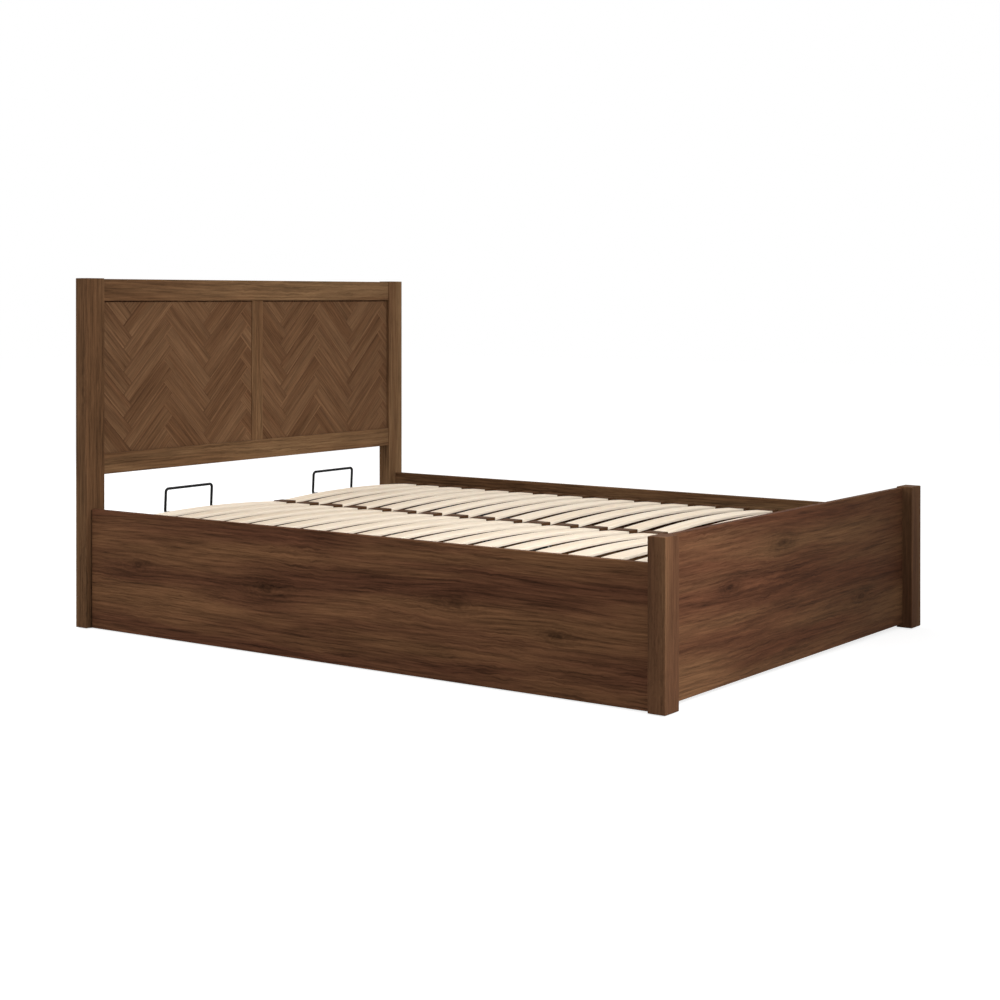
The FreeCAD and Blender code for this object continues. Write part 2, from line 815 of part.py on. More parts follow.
eye_inner = strut_centre - d.strut_eye_width / 2
eye_outer = strut_centre + d.strut_eye_width / 2
for word, side in SIDES:
    low_x = low_of(side, arm_inner, arm_outer)
    # The long arm carries the strut's lug on its inner face
    body = new_body(f"long_arm_{word}")
    sketch = new_sketch(body, "YZ_Plane")
    slot(sketch, d.long_arm_run, d.long_arm_rise, d.long_arm_radius)
    pad(body, sketch, d.arm_thickness)
    lug_length = arm_inner - eye_outer - d.open_pivot_gap
    stub(body, lug_run, lug_rise, d.lug_radius, -lug_length if side > 0 else d.arm_thickness, lug_length)
    punch(body, [(0, 0, pin_hole), (d.long_arm_run, d.long_arm_rise, pin_hole)])
    keep(place(body, low_x, pivot_y, d.pivot_z), f"long_arm_{word}")
    # The short arm ends in a rivet that faces the top plate
    body = new_body(f"short_arm_{word}")
    sketch = new_sketch(body, "YZ_Plane")
    slot(sketch, short_arm_run, short_arm_rise, d.short_arm_radius)
    pad(body, sketch, d.arm_thickness)
    inner_rivet = d.layer_gap - d.open_pivot_gap
    stub(body, short_arm_run, short_arm_rise, d.pin_radius,
         -inner_rivet if side > 0 else d.arm_thickness, inner_rivet)
    stub(body, short_arm_run, short_arm_rise, d.pin_head_radius,
         d.arm_thickness if side > 0 else -d.pin_head_height, d.pin_head_height)
    punch(body, [(0, 0, pin_hole)])
    keep(place(body, low_x, short_pivot_y, short_pivot_z), f"short_arm_{word}")

# Base pivot pins: the shank sits in the base plate and the head holds the arm
head_start = d.base_plate_thickness + d.layer_gap + d.arm_thickness + d.pin_head_gap
head_end = head_start + d.pin_head_height
base_pin = [(0, 0), (0, d.pin_radius), (head_start, d.pin_radius), (head_start, d.pin_head_radius),
            (head_end, d.pin_head_radius), (head_end, 0)]
eye_start = panel_face - eye_outer - d.pin_head_gap
eye_end = panel_face - eye_inner + d.pin_head_gap
strut_stud = [(0, 0), (0, d.pin_radius), (d.base_plate_thickness, d.pin_radius),
              (d.base_plate_thickness, d.pin_head_radius), (eye_start, d.pin_head_radius),
              (eye_start, d.pin_radius), (eye_end, d.pin_radius), (eye_end, d.pin_head_radius),
              (eye_end + d.pin_head_height, d.pin_head_radius), (eye_end + d.pin_head_height, 0)]
# Top pivot pins: a head on both sides, through the long arm and the top plate
top_pin_start = arm_outer + d.pin_head_gap
top_pin_end = platform_half - d.pin_head_gap
top_pin_span = top_pin_start - top_pin_end
top_pin = [(-d.pin_head_height, 0), (-d.pin_head_height, d.pin_head_radius), (0, d.pin_head_radius),
           (0, d.pin_radius), (top_pin_span, d.pin_radius), (top_pin_span, d.pin_head_radius),
           (top_pin_span + d.pin_head_height, d.pin_head_radius), (top_pin_span + d.pin_head_height, 0)]
PINS = (("base_pivot_pins", panel_face, pivot_y, d.pivot_z, base_pin),
        ("follower_pivot_pins", panel_face, short_pivot_y, short_pivot_z, base_pin),
        ("strut_studs", panel_face, strut_pivot_y, strut_pivot_z, strut_stud),
        ("top_pivot_pins", top_pin_start, top_pivot_y, top_pivot_z, top_pin))
for label, start, pin_y, pin_z, profile in PINS:
    group(label, [pin(f"{label}_{word}", start * side, pin_y, pin_z, side, profile)
                  for word, side in SIDES])

# Top plates, bolted to the outside of the platform's side rails
flange_base = d.platform_underside - top_pivot_z
pivot_spacing = root(d.top_pivot_back * d.top_pivot_back + d.top_pivot_rise * d.top_pivot_rise)
lean_across = -d.top_plate_eye * d.top_pivot_rise / pivot_spacing
lean_along = -d.top_plate_eye * d.top_pivot_back / pivot_spacing
top_plate_points = [(-d.top_plate_reach, flange_base),
                    (-d.top_pivot_back - d.top_plate_eye, d.top_pivot_rise),
                    (lean_across - d.top_pivot_back, lean_along + d.top_pivot_rise),
                    (lean_across, lean_along), (d.top_plate_eye, 0),
                    (d.top_plate_overhang, flange_base),
                    (d.top_plate_overhang, flange_base + d.top_plate_flange),
                    (-d.top_plate_reach, flange_base + d.top_plate_flange)]
bolt_rise = flange_base + d.top_plate_flange / 2
top_plate_middle = (d.top_plate_overhang - d.top_plate_reach) / 2
BOLT_SPOTS = [(d.bolt_inset - d.top_plate_reach, bolt_rise), (top_plate_middle, bolt_rise),
              (d.top_plate_overhang - d.bolt_inset, bolt_rise)]
bolt_hole = d.bolt_radius + d.screw_clearance
for word, side in SIDES:
    body = new_body(f"lift_top_plate_{word}")
    sketch = new_sketch(body, "YZ_Plane")
    polygon(sketch, top_plate_points)
    pad(body, sketch, d.top_plate_thickness)
    stub(body, 0, 0, d.top_plate_eye, 0, d.top_plate_thickness)
    stub(body, -d.top_pivot_back, d.top_pivot_rise, d.top_plate_eye, 0, d.top_plate_thickness)
    stub(body, -d.top_pivot_back, d.top_pivot_rise, d.pin_head_radius,
         -d.pin_head_height if side > 0 else d.top_plate_thickness, d.pin_head_height)
    punch(body, [(0, 0, pin_hole)] + [(across, along, bolt_hole) for across, along in BOLT_SPOTS])
    keep(place(body, low_of(side, platform_half, top_plate_outer), top_pivot_y, top_pivot_z),
         f"lift_top_plate_{word}")

bolt_solids = []
for word, side in SIDES:
    into = Vector(-side, 0, 0)
    for across, along in BOLT_SPOTS:
        seat = point(top_plate_outer * side, top_pivot_y + across, top_pivot_z + along)
        inside = seat + into * (d.top_plate_thickness + d.tube_wall).value
        head = Part.makeCylinder(d.bolt_head_radius.value, d.bolt_head_height.value, seat, -into)
        reach = (d.top_plate_thickness + d.tube_wall + d.bolt_head_height).value
        shank = Part.makeCylinder(d.bolt_radius.value, reach, seat, into)
        nut = Part.makeCylinder(d.bolt_head_radius.value, d.bolt_head_height.value, inside, into)
        bolt_solids.append(head.fuse([shank, nut]))
bolts = doc.addObject("Part::Feature", "top_plate_bolts")
bolts.Shape = Part.makeCompound(bolt_solids)
keep(bolts, "top_plate_bolts")


# Gas struts, drawn upright at their lower pivot and leant to the lug on the long arm
def eye_pad(body, along, width):
    sketch = new_sketch(body, "YZ_Plane", "eye")
    circle(sketch, 0, along, d.strut_eye_radius)
    pad(body, sketch, width, middle=True)


strut_heading = Rotation(Vector(0, 0, 1), point(0, strut_run, strut_rise))
strut_bore = d.strut_radius - d.strut_wall
rod_hole = d.rod_radius + d.slide_clearance
tube_floor = d.strut_tube_start + d.strut_end_wall
tube_head = d.strut_tube_end - d.strut_end_wall
tube_profile = [(0, 0), (d.strut_neck_radius, 0), (d.strut_neck_radius, d.strut_tube_start),
                (d.strut_radius, d.strut_tube_start), (d.strut_radius, d.strut_tube_end),
                (rod_hole, d.strut_tube_end), (rod_hole, tube_head), (strut_bore, tube_head),
                (strut_bore, tube_floor), (0, tube_floor)]
piston_end = d.rod_inner_end - d.piston_length
piston_radius = strut_bore - d.slide_clearance
rod_profile = [(0, piston_end), (piston_radius, piston_end), (piston_radius, d.rod_inner_end),
               (d.rod_radius, d.rod_inner_end), (d.rod_radius, strut_length), (0, strut_length)]
for word, side in SIDES:
    body = new_body(f"strut_cylinder_{word}")
    sketch = new_sketch(body, "XZ_Plane")
    polygon(sketch, tube_profile)
    turn(body, sketch, "V_Axis")
    eye_pad(body, 0, d.strut_eye_width)
    punch(body, [(0, 0, pin_hole)])
    keep(place(body, side * strut_centre, strut_pivot_y, strut_pivot_z, strut_heading),
         f"strut_cylinder_{word}")
    body = new_body(f"strut_rod_{word}")
    sketch = new_sketch(body, "XZ_Plane")
    polygon(sketch, rod_profile)
    turn(body, sketch, "V_Axis")
    eye_pad(body, strut_length, d.strut_eye_width)
    keep(place(body, side * strut_centre, strut_pivot_y, strut_pivot_z, strut_heading),
         f"strut_rod_{word}")


# Lifting platform: a frame of rectangular steel tube
def tube(label, plane, corner, width, height, length):
    """Rectangular tube, drawn as two outlines on the plane that it runs out of."""
    body = new_body(label)
    sketch = new_sketch(body, plane)
    wall = d.tube_wall
    polygon(sketch, [(0, 0), (width, 0), (width, height), (0, height)])
    polygon(sketch, [(wall, wall), (width - wall, wall), (width - wall, height - wall),
                     (wall, height - wall)])
    pad(body, sketch, length, backwards=plane == "XZ_Plane")
    return place(body, *corner)


for word, side in SIDES:
    label = f"platform_side_rail_{word}"
    low_x = low_of(side, rail_inner, platform_half)
    rail = tube(label, "XZ_Plane", (low_x, platform_foot + d.plug_flange, d.platform_underside),
                d.tube_width, d.tube_height, platform_length - 2 * d.plug_flange)
    start_x = rail_middle * side
    outwards = ALONG_X if side > 0 else ALONG_X.inverted()
    tools = [bore(f"{label}_bolt_hole_{number}", (start_x, top_pivot_y + across, top_pivot_z + along),
                  bolt_hole, d.tube_width, outwards)
             for number, (across, along) in enumerate(BOLT_SPOTS)]
    subtract(label, rail, tools)
for word, low_y in (("head", platform_head - d.tube_width), ("foot", platform_foot)):
    keep(tube(f"platform_{word}_rail", "YZ_Plane", (-rail_inner, low_y, d.platform_underside),
              d.tube_width, d.tube_height, 2 * rail_inner), f"platform_{word}_rail")
keep(tube("platform_centre_rail", "XZ_Plane",
          (-d.tube_width / 2, platform_foot + d.tube_width, d.platform_underside),
          d.tube_width, d.tube_height, platform_length - 2 * d.tube_width), "platform_centre_rail")


def rail_plug(label, side, low_y, inwards):
    """A plastic plug: a flange on the tube's end and a stem inside it."""
    low_x = low_of(side, rail_inner, platform_half)
    flange = block(f"{label}_flange", (low_x, low_y, d.platform_underside),
                   (d.tube_width, d.plug_flange, d.tube_height))
    gap = d.tube_wall + d.holder_clearance
    stem_y = low_y + d.plug_flange if inwards > 0 else low_y - d.plug_depth
    stem = block(f"{label}_stem", (low_x + gap, stem_y, d.platform_underside + gap),
                 (d.tube_width - 2 * gap, d.plug_depth, d.tube_height - 2 * gap))
    plug = doc.addObject("Part::Fuse", label)
    plug.Base = flange
    plug.Tool = stem
    return plug


group("rail_end_plugs", [rail_plug(f"plug_{end}_{word}", side, low_y, inwards)
                         for end, low_y, inwards in (("foot", platform_foot, 1),
                                                     ("head", platform_head - d.plug_flange, -1))
                         for word, side in SIDES])

# Sprung slats: each end lies on its holder's floor and the middle bows upwards
slat_base = platform_top + d.holder_floor
slat_outer_end = platform_half - d.holder_wall - d.holder_clearance
slat_half = (slat_outer_end - d.slat_end_gap) / 2
slat_middle = (slat_outer_end + d.slat_end_gap) / 2
bow_radius = (slat_half * slat_half + d.slat_bow * d.slat_bow) / (2 * d.slat_bow)
bow_centre = bow_radius - d.slat_bow
top_radius = bow_radius + d.slat_thickness


def slat_surface(offset):
    """Height of a slat's top above its end's underside, at a distance from its middle."""
    return root(top_radius * top_radius - offset * offset) - bow_centre


def slat():
    """One bowed slat: two arcs about one centre and two upright ends."""
    body = new_body("slat")
    sketch = new_sketch(body, "XZ_Plane")
    centre = Vector(0, -bow_centre.value, 0)
    end_top = slat_surface(slat_half).value
    for radius, rise in ((bow_radius, 0), (top_radius, end_top)):
        half_turn = math.asin(slat_half.value / radius.value)
        whole = Part.Circle(centre, Vector(0, 0, 1), radius.value)
        sketch.addGeometry(Part.ArcOfCircle(whole, math.pi / 2 - half_turn, math.pi / 2 + half_turn))
    for side in (1, -1):
        sketch.addGeometry(Part.LineSegment(Vector(side * slat_half.value, 0, 0),
                                            Vector(side * slat_half.value, end_top, 0)))
    for line, end in ((2, 1), (3, 2)):
        sketch.addConstraint(Sketcher.Constraint("Coincident", line, 1, 0, end))
        sketch.addConstraint(Sketcher.Constraint("Coincident", line, 2, 1, end))
        sketch.addConstraint(Sketcher.Constraint("Vertical", line))
    sketch.addConstraint(Sketcher.Constraint("Coincident", 1, 3, 0, 3))
    sketch.addConstraint(Sketcher.Constraint("PointOnObject", 0, 3, -2))
    sketch.addConstraint(Sketcher.Constraint("PointOnObject", 2, 1, -1))
    dimension(sketch, "DistanceX", -1, 1, 2, 1, size=slat_half)
    dimension(sketch, "Radius", 0, size=bow_radius)
    dimension(sketch, "Radius", 1, size=top_radius)
    pad(body, sketch, d.slat_width, middle=True)
    return body


one_slat = slat()
slat_steps = math.floor(((platform_length - d.slat_first - d.slat_last_margin) / d.slat_pitch).value)
slat_rows = [platform_head - d.slat_first - d.slat_pitch * number for number in range(slat_steps + 1)]
for word, side in SIDES:
    array(f"slats_{word}", one_slat, [(side * slat_middle, y, slat_base) for y in slat_rows])

# Slat holders: a plastic pocket for each slat end, open towards the slat
holder_width = d.slat_width + 2 * (d.holder_clearance + d.holder_wall)
pocket_width = d.slat_width + 2 * d.holder_clearance


def holder(label, length, mouths, mouth_offset, depth):
    """A holder centred across the slat, hollowed by a pocket from each of its mouths."""
    pocket_height = slat_surface(mouth_offset) + d.holder_clearance
    height = d.holder_floor + pocket_height + d.holder_wall
    body = board(f"{label}_body", (-length / 2, -holder_width / 2, 0), (length, holder_width, height),
                 d.holder_edge_radius, off_the_base)
    tools = []
    for side in mouths:
        low_x = low_of(side, length / 2 - depth, length / 2 + d.overrun)
        tools.append(block(f"{label}_pocket_{side}", (low_x, -pocket_width / 2, d.holder_floor),
                           (depth + d.overrun, pocket_width, pocket_height)))
    cut = subtract(label, body, tools)
    parts.remove(cut)
    return cut


centre_depth = d.centre_holder_length / 2 - d.slat_end_gap
centre_holder = holder("centre_holder", d.centre_holder_length, (-1, 1), slat_half - centre_depth,
                       centre_depth + d.holder_clearance)
array("centre_slat_holders", centre_holder, [(0, y, platform_top) for y in slat_rows])
outer_depth = d.outer_holder_length - d.holder_wall
outer_rows = []
for word, side in SIDES:
    outer_holder = holder(f"outer_holder_{word}", d.outer_holder_length, (-side,),
                          slat_half - outer_depth, outer_depth)
    holder_x = side * (platform_half - d.outer_holder_length / 2)
    outer_rows.append(array(f"outer_slat_holders_{word}", outer_holder,
                            [(holder_x, y, platform_top) for y in slat_rows]))
group("outer_slat_holders", outer_rows)


# Mattress retainers: bent wire loops clamped to the platform's head rail
def bent_wire(points, bend):
    """Straight runs joined by arcs that touch both runs."""
    edges = []
    start = points[0]
    for before, corner, after in zip(points, points[1:], points[2:]):
        back = (before - corner).normalize()
        ahead = (after - corner).normalize()
        half_turn = back.getAngle(ahead) / 2
        setback = bend / math.tan(half_turn)
        bisector = (back + ahead).normalize()
        middle = corner + bisector * (bend / math.sin(half_turn) - bend)
        edges.append(Part.LineSegment(start, corner + back * setback).toShape())
        edges.append(Part.Arc(corner + back * setback, middle, corner + ahead * setback).toShape())
        start = corner + ahead * setback
    edges.append(Part.LineSegment(start, points[-1]).toShape())
    return Part.Wire(edges)


def retainer(label, side):
    wire_level = platform_top + d.clamp_base + d.wire_radius
    leg_y = platform_head - d.retainer_inset
    foot_y = leg_y - d.retainer_foot
    half = d.retainer_width / 2 - d.wire_radius
    low_x = side * d.retainer_offset - half
    high_x = side * d.retainer_offset + half
    crest = d.retainer_top - d.wire_radius
    crest_y = leg_y - d.retainer_lean
    points = [point(low_x, foot_y, wire_level), point(low_x, leg_y, wire_level),
              point(low_x, crest_y, crest), point(high_x, crest_y, crest),
              point(high_x, leg_y, wire_level), point(high_x, foot_y, wire_level)]
    section = Part.Wire(Part.makeCircle(d.wire_radius.value, points[0], Vector(0, 1, 0)))
    thing = doc.addObject("Part::Feature", label)
    thing.Shape = bent_wire(points, d.wire_bend.value).makePipeShell([section], True, False)
    return keep(thing, label)


for word, side in SIDES:
    retainer(f"mattress_retainer_{word}", side)
clamp_height = d.clamp_base + 2 * d.wire_radius + d.holder_wall
clamp_body = board("clamp_body", (-d.clamp_width / 2, 0, 0), (d.clamp_width, d.clamp_length, clamp_height),
                   d.holder_edge_radius, off_the_base)
clamp_bore = bore("clamp_bore", (0, -d.overrun, d.clamp_base + d.wire_radius),
                  d.wire_radius + d.holder_clearance, d.clamp_length + 2 * d.overrun,
                  Rotation(Vector(0, 0, 1), Vector(0, 1, 0)))
clamp = subtract("clamp", clamp_body, [clamp_bore])
parts.remove(clamp)
clamp_y = platform_head - d.clamp_inset - d.clamp_length
leg_offset = d.retainer_width / 2 - d.wire_radius
array("retainer_clamps", clamp, [(side * d.retainer_offset + leg * leg_offset, clamp_y, platform_top)
                                 for word, side in SIDES for leg in (-1, 1)])

# Check every object and write one file for each sub-part
doc.recompute()
for thing in doc.Objects:
    if "Invalid" in thing.State or "Error" in thing.State:
        raise RuntimeError(f"{thing.Label} could not be built: {thing.State}")
os.makedirs("parts", exist_ok=True)
for thing in parts:
    shape = thing.Shape
    if shape.isNull() or not shape.isValid() or not shape.Solids:
        raise RuntimeError(f"{thing.Label} is not a valid solid")
for thing in parts:
    thing.Shape.exportStep(f"parts/{thing.Label}.step")
    box = thing.Shape.BoundBox
    reach = ", ".join(f"{low:.1f} to {high:.1f}" for low, high in
                      ((box.XMin, box.XMax), (box.YMin, box.YMax), (box.ZMin, box.ZMax)))
    print(f"{thing.Label}: {len(thing.Shape.Solids)} solids, {thing.Shape.Volume:.0f} mm3, {reach}")
print(f"{len(parts)} sub-parts")
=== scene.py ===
# %% [markdown]
# # An ottoman bed in walnut
#
# This lesson dresses the measured model of a storage bed. The frame already holds every rigid
# piece at its true size and place, so this script mostly decides what the surfaces are made
# of. It makes again only the pieces whose looks need a finer mesh: the headboard's herringbone
# boards and the bowed birch slats.

# %% Load the frame
import math
import random

import bmesh
import bpy
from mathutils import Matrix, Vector


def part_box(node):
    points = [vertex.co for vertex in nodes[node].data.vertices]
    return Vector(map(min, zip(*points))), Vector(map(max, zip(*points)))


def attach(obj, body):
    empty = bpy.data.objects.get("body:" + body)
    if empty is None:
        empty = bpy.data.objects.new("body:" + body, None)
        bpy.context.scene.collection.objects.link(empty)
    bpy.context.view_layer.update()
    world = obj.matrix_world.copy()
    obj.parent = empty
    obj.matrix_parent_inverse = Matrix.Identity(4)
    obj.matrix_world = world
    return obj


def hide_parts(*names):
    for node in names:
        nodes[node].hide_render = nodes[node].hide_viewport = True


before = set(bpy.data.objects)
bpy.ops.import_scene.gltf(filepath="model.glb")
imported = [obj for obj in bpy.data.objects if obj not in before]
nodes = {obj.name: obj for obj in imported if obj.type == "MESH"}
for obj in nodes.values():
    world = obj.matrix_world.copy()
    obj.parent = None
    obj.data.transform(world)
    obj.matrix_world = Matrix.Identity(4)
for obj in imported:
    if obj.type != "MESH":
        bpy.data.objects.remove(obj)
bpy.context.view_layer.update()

# %% [markdown]
# ## The camera
#
# The photograph was taken from the foot end's left corner, a little above the platform, with
# the lens nearly level so that upright edges stay upright. Its framing comes from a shift of
# the lens, as with an architect's camera. A camera can be placed by eye, but these values were
# fitted to the corners of the bed, so that each edge can be compared with the photograph.

# %% Set up the camera
CAMERA_PLACE = Vector((-4.3577, -3.1837, 0.9585))
CAMERA_HEADING = math.radians(54.67)
CAMERA_PITCH = math.radians(-0.21)
FRAME_PIXELS = 1000
FOCAL_PIXELS = 1856.9
CENTRE_PIXEL = (525.8, 304.4)
SENSOR_WIDTH = 36

lens = bpy.data.cameras.new("camera")
lens.sensor_width = SENSOR_WIDTH
lens.lens = FOCAL_PIXELS / FRAME_PIXELS * SENSOR_WIDTH
lens.shift_x = 0.5 - CENTRE_PIXEL[0] / FRAME_PIXELS
lens.shift_y = CENTRE_PIXEL[1] / FRAME_PIXELS - 0.5
camera = bpy.data.objects.new("camera", lens)
camera.location = CAMERA_PLACE
camera.rotation_euler = (math.radians(90) + CAMERA_PITCH, 0, -CAMERA_HEADING)
bpy.context.scene.collection.objects.link(camera)
bpy.context.scene.camera = camera
print("lens:", round(lens.lens, 2), "mm")

# %% [markdown]
# ## Sums on sockets
#
# A material is a graph of nodes, but its maths reads best as plain sums. The first class wraps
# one socket, so that `1 - mask` or `grain * 0.2 + tone` adds the Math nodes by itself. Colours
# and vectors go through Mix and Vector Math nodes instead, because a Math node would turn them
# grey.


# %% Define the socket wrapper
class Signal:
    """One output socket of a graph, usable in sums."""

    def __init__(self, graph, socket):
        self.graph = graph
        self.socket = socket

    def math(self, operation, *others):
        return self.graph.node("ShaderNodeMath", {"operation": operation}, [self, *others])

    def __add__(self, other):
        return self.math("ADD", other)

    def __radd__(self, other):
        return self.math("ADD", other)

    def __sub__(self, other):
        return self.math("SUBTRACT", other)

    def __rsub__(self, other):
        return self.graph.node("ShaderNodeMath", {"operation": "SUBTRACT"}, [other, self])

    def __mul__(self, other):
        return self.math("MULTIPLY", other)

    def __rmul__(self, other):
        return self.math("MULTIPLY", other)

    def __truediv__(self, other):
        return self.math("DIVIDE", other)

    def __rtruediv__(self, other):
        return self.graph.node("ShaderNodeMath", {"operation": "DIVIDE"}, [other, self])

    def step(self, low, high):
        """0 below low, 1 above high and a smooth rise between them."""
        return self.graph.node("ShaderNodeMapRange", {"interpolation_type": "SMOOTHSTEP"},
                               {"Value": self, "From Min": low, "From Max": high})

    def wave(self):
        """A sine wave of this signal, between 0 and 1."""
        return self.math("SINE") * 0.5 + 0.5

    def centred(self):
        """A noise from 0 to 1, moved so that it swings to either side of zero."""
        return self - 0.5


# %% [markdown]
# ## Graphs and finishes
#
# Every node comes from one method, which takes the node's type, its settings and what goes
# into its sockets. A finish is a graph round the Principled shader of one material, with short
# names for the nodes that it needs most.


# %% Define graphs and finishes
class Graph:
    """A node tree of a material or of the sky."""

    def __init__(self, tree):
        self.tree = tree

    def node(self, kind, settings=None, sockets=None, output=None):
        """Add a node: its settings first, then the values or links of its sockets."""
        made = self.tree.nodes.new(kind)
        for key, value in (settings or {}).items():
            if key == "stops":
                self.set_ramp(made.color_ramp, value)
            else:
                setattr(made, key, value)
        shown = [socket for socket in made.inputs if socket.enabled]
        pairs = sockets.items() if isinstance(sockets, dict) else enumerate(sockets or [])
        for key, value in pairs:
            if isinstance(key, str):
                key = [socket.name for socket in shown].index(key)
            self.feed(shown[key], value)
        results = [socket for socket in made.outputs if socket.enabled]
        return Signal(self, made.outputs[output] if output else results[0])

    def set_ramp(self, ramp, stops):
        """Give a colour ramp its stops, each with a place from 0 to 1 and a colour."""
        while len(ramp.elements) < len(stops):
            ramp.elements.new(0.5)
        for element, (place, colour) in zip(ramp.elements, stops):
            element.position = place
            element.color = (*colour, 1)

    def feed(self, target, value):
        """Link a signal to a socket, or set the socket to a plain value."""
        if isinstance(value, Signal):
            self.tree.links.new(value.socket, target)
        elif target.type == "RGBA" and len(value) == 3:
            target.default_value = (*value, 1)
        else:
            target.default_value = value


class Finish(Graph):
    """A material built round one Principled shader."""

    def __init__(self, name):
        self.material = bpy.data.materials.new(name)
        self.material.use_nodes = True
        super().__init__(self.material.node_tree)
        self.shader = self.tree.nodes["Principled BSDF"]

    def place(self, source):
        """Where a point lies on the bed (Object) or on its own board (UV)."""
        return self.node("ShaderNodeTexCoord", output=source)

    def mix(self, factor, first, second):
        return self.node("ShaderNodeMix", {"data_type": "RGBA"},
                         {"Factor": factor, "A": first, "B": second})

    def scaled(self, vector, factors):
        return self.node("ShaderNodeVectorMath", {"operation": "MULTIPLY"}, [vector, factors])

    def moved(self, vector, offset):
        return self.node("ShaderNodeVectorMath", {"operation": "ADD"}, [vector, offset])

    def noise(self, vector, scale, detail=2.0, roughness=0.5):
        return self.node("ShaderNodeTexNoise", {}, {"Vector": vector, "Scale": scale,
                                                    "Detail": detail, "Roughness": roughness})

    def set(self, **inputs):
        """Set or link inputs of the shader, such as Base_Color."""
        for name, value in inputs.items():
            self.feed(self.shader.inputs[name.replace("_", " ")], value)

    def relief(self, height, distance, strength):
        """Turn a height signal into shading of the surface's normal."""
        self.set(Normal=self.node("ShaderNodeBump", {}, {"Height": height, "Distance": distance,
                                                         "Strength": strength}))


# %% [markdown]
# ## Colours and pieces
#
# Colours are easiest to judge as screen values from 0 to 255, but a shader takes linear ones,
# so a small helper turns one into the other. The measured pieces stay as they are and only
# change what they wear.


# %% Define how colours are written and finishes are worn
def srgb(red, green, blue):
    """A screen colour from 0 to 255 as the linear values that a shader takes."""
    def linear(value):
        share = value / 255
        return share / 12.92 if share <= 0.04045 else ((share + 0.055) / 1.055) ** 2.4
    return (linear(red), linear(green), linear(blue))


def wear(finish, *names):
    """Give a finish to the measured pieces with these names."""
    for name in names:
        nodes[name].data.materials.clear()
        nodes[name].data.materials.append(finish.material)


print("a mid brown is", [round(value, 3) for value in srgb(100, 74, 52)])

# %% [markdown]
# ## The flow of the grain
#
# The boards carry a walnut grain whose lines run along each board, wander a little, and part
# round a knot. A picture of wood could be laid on them, but it would repeat, and it would have
# to be turned for each board. Here the grain comes from noise, read at coordinates of its own.
# The first of them runs along the grain. The second runs across it and is bent: slow noise
# makes the lines wander, a fine ripple comes and goes, and a hill round each knot spreads the
# lines, so that they part round it. The knot itself is a dark smudge with rings in it.

# %% Define the flow of the grain
MM = 0.001
KNOT_STRETCH = 2.6
KNOT_SPREAD = 0.5
RIPPLE_WIDTH = 12 * MM
RING_DENSITY = 11
RING_RIPPLE = 26
ACROSS_AND_DEPTH = {"X": "ZY", "Y": "ZX", "Z": "XY"}


def squeezed(finish, place, along, stretch):
    """Coordinates squeezed along one axis, so that noise becomes long along the grain."""
    factors = [1.0, 1.0, 1.0]
    factors["XYZ".index(along)] = 1 / stretch
    return finish.scaled(place, tuple(factors))


def knot_distance(finish, place, along, centre, reach):
    """Distance from a knot in shares of its reach, shorter along the grain than across it."""
    offset = finish.moved(place, tuple(-value for value in centre))
    factors = [1 / reach] * 3
    factors["XYZ".index(along)] = 1 / (reach * KNOT_STRETCH)
    return finish.node("ShaderNodeVectorMath", {"operation": "LENGTH"},
                       [finish.scaled(offset, tuple(factors))], "Value")


def knot_shade(away, hill, ripple):
    """How much a knot darkens the wood: a smudge, rings in it and a darker core."""
    rings = (away * RING_DENSITY + ripple * RING_RIPPLE).wave()
    return hill.step(0.08, 0.75) * (0.13 + rings * 0.17) + hill.step(0.84, 0.98) * 0.3


def grain_space(finish, along, seed, wander, knots):
    """Coordinates that follow the grain, and what the knots leave of the light."""
    place = finish.place("Object")
    split = {axis: finish.node("ShaderNodeSeparateXYZ", {}, [place], axis) for axis in "XYZ"}
    across, depth = [split[axis] for axis in ACROSS_AND_DEPTH[along]]
    slow = finish.noise(squeezed(finish, place, along, 5.0), scale=5.0)
    calm = finish.noise(squeezed(finish, place, along, 4.0), scale=7.0, detail=1.0)
    ripple = finish.noise(squeezed(finish, place, along, 2.4), scale=60.0)
    bent = across + slow.centred() * wander
    bent = bent + ripple.centred() * calm.step(0.47, 0.6) * RIPPLE_WIDTH
    light = None
    for centre, reach in knots:
        away = knot_distance(finish, place, along, centre, reach)
        hill = 1 / (1 + away * away)
        middle = centre["XYZ".index(ACROSS_AND_DEPTH[along][0])]
        bent = bent + (middle - across) * hill * KNOT_SPREAD
        shade = knot_shade(away, hill, ripple)
        light = 1 - shade if light is None else light - shade
    grain = finish.node("ShaderNodeCombineXYZ", {},
                        [split[along] + seed, bent + seed * 0.37, depth + seed])
    return grain, light


print("a knot is", KNOT_STRETCH, "times as long as it is wide")

# %% [markdown]
# ## Walnut
#
# Five layers of noise, each finer than the last and all squeezed along the grain, make the
# wood: broad bands that turn from a reddish to an olive brown, the figure, the fibres, thin
# dark lines and pores. They change the colour and its lightness, and the fibres and pores also
# leave a slight relief. The wood in the photograph is matt, so it hardly shines.

# %% Define the walnut finish
BASE_LIGHT = 1.05
FIBRE_STRENGTH = 3.1
LINE_DEPTH = 0.16
PORE_DEPTH = 0.25
WOOD_SHINE = 0.015


def streaks(finish, grain, squeeze, scale, detail, roughness=0.5):
    """Noise that is long along the grain and narrow across it."""
    return finish.noise(finish.scaled(grain, (squeeze, 1.0, 1.0)), scale, detail, roughness)


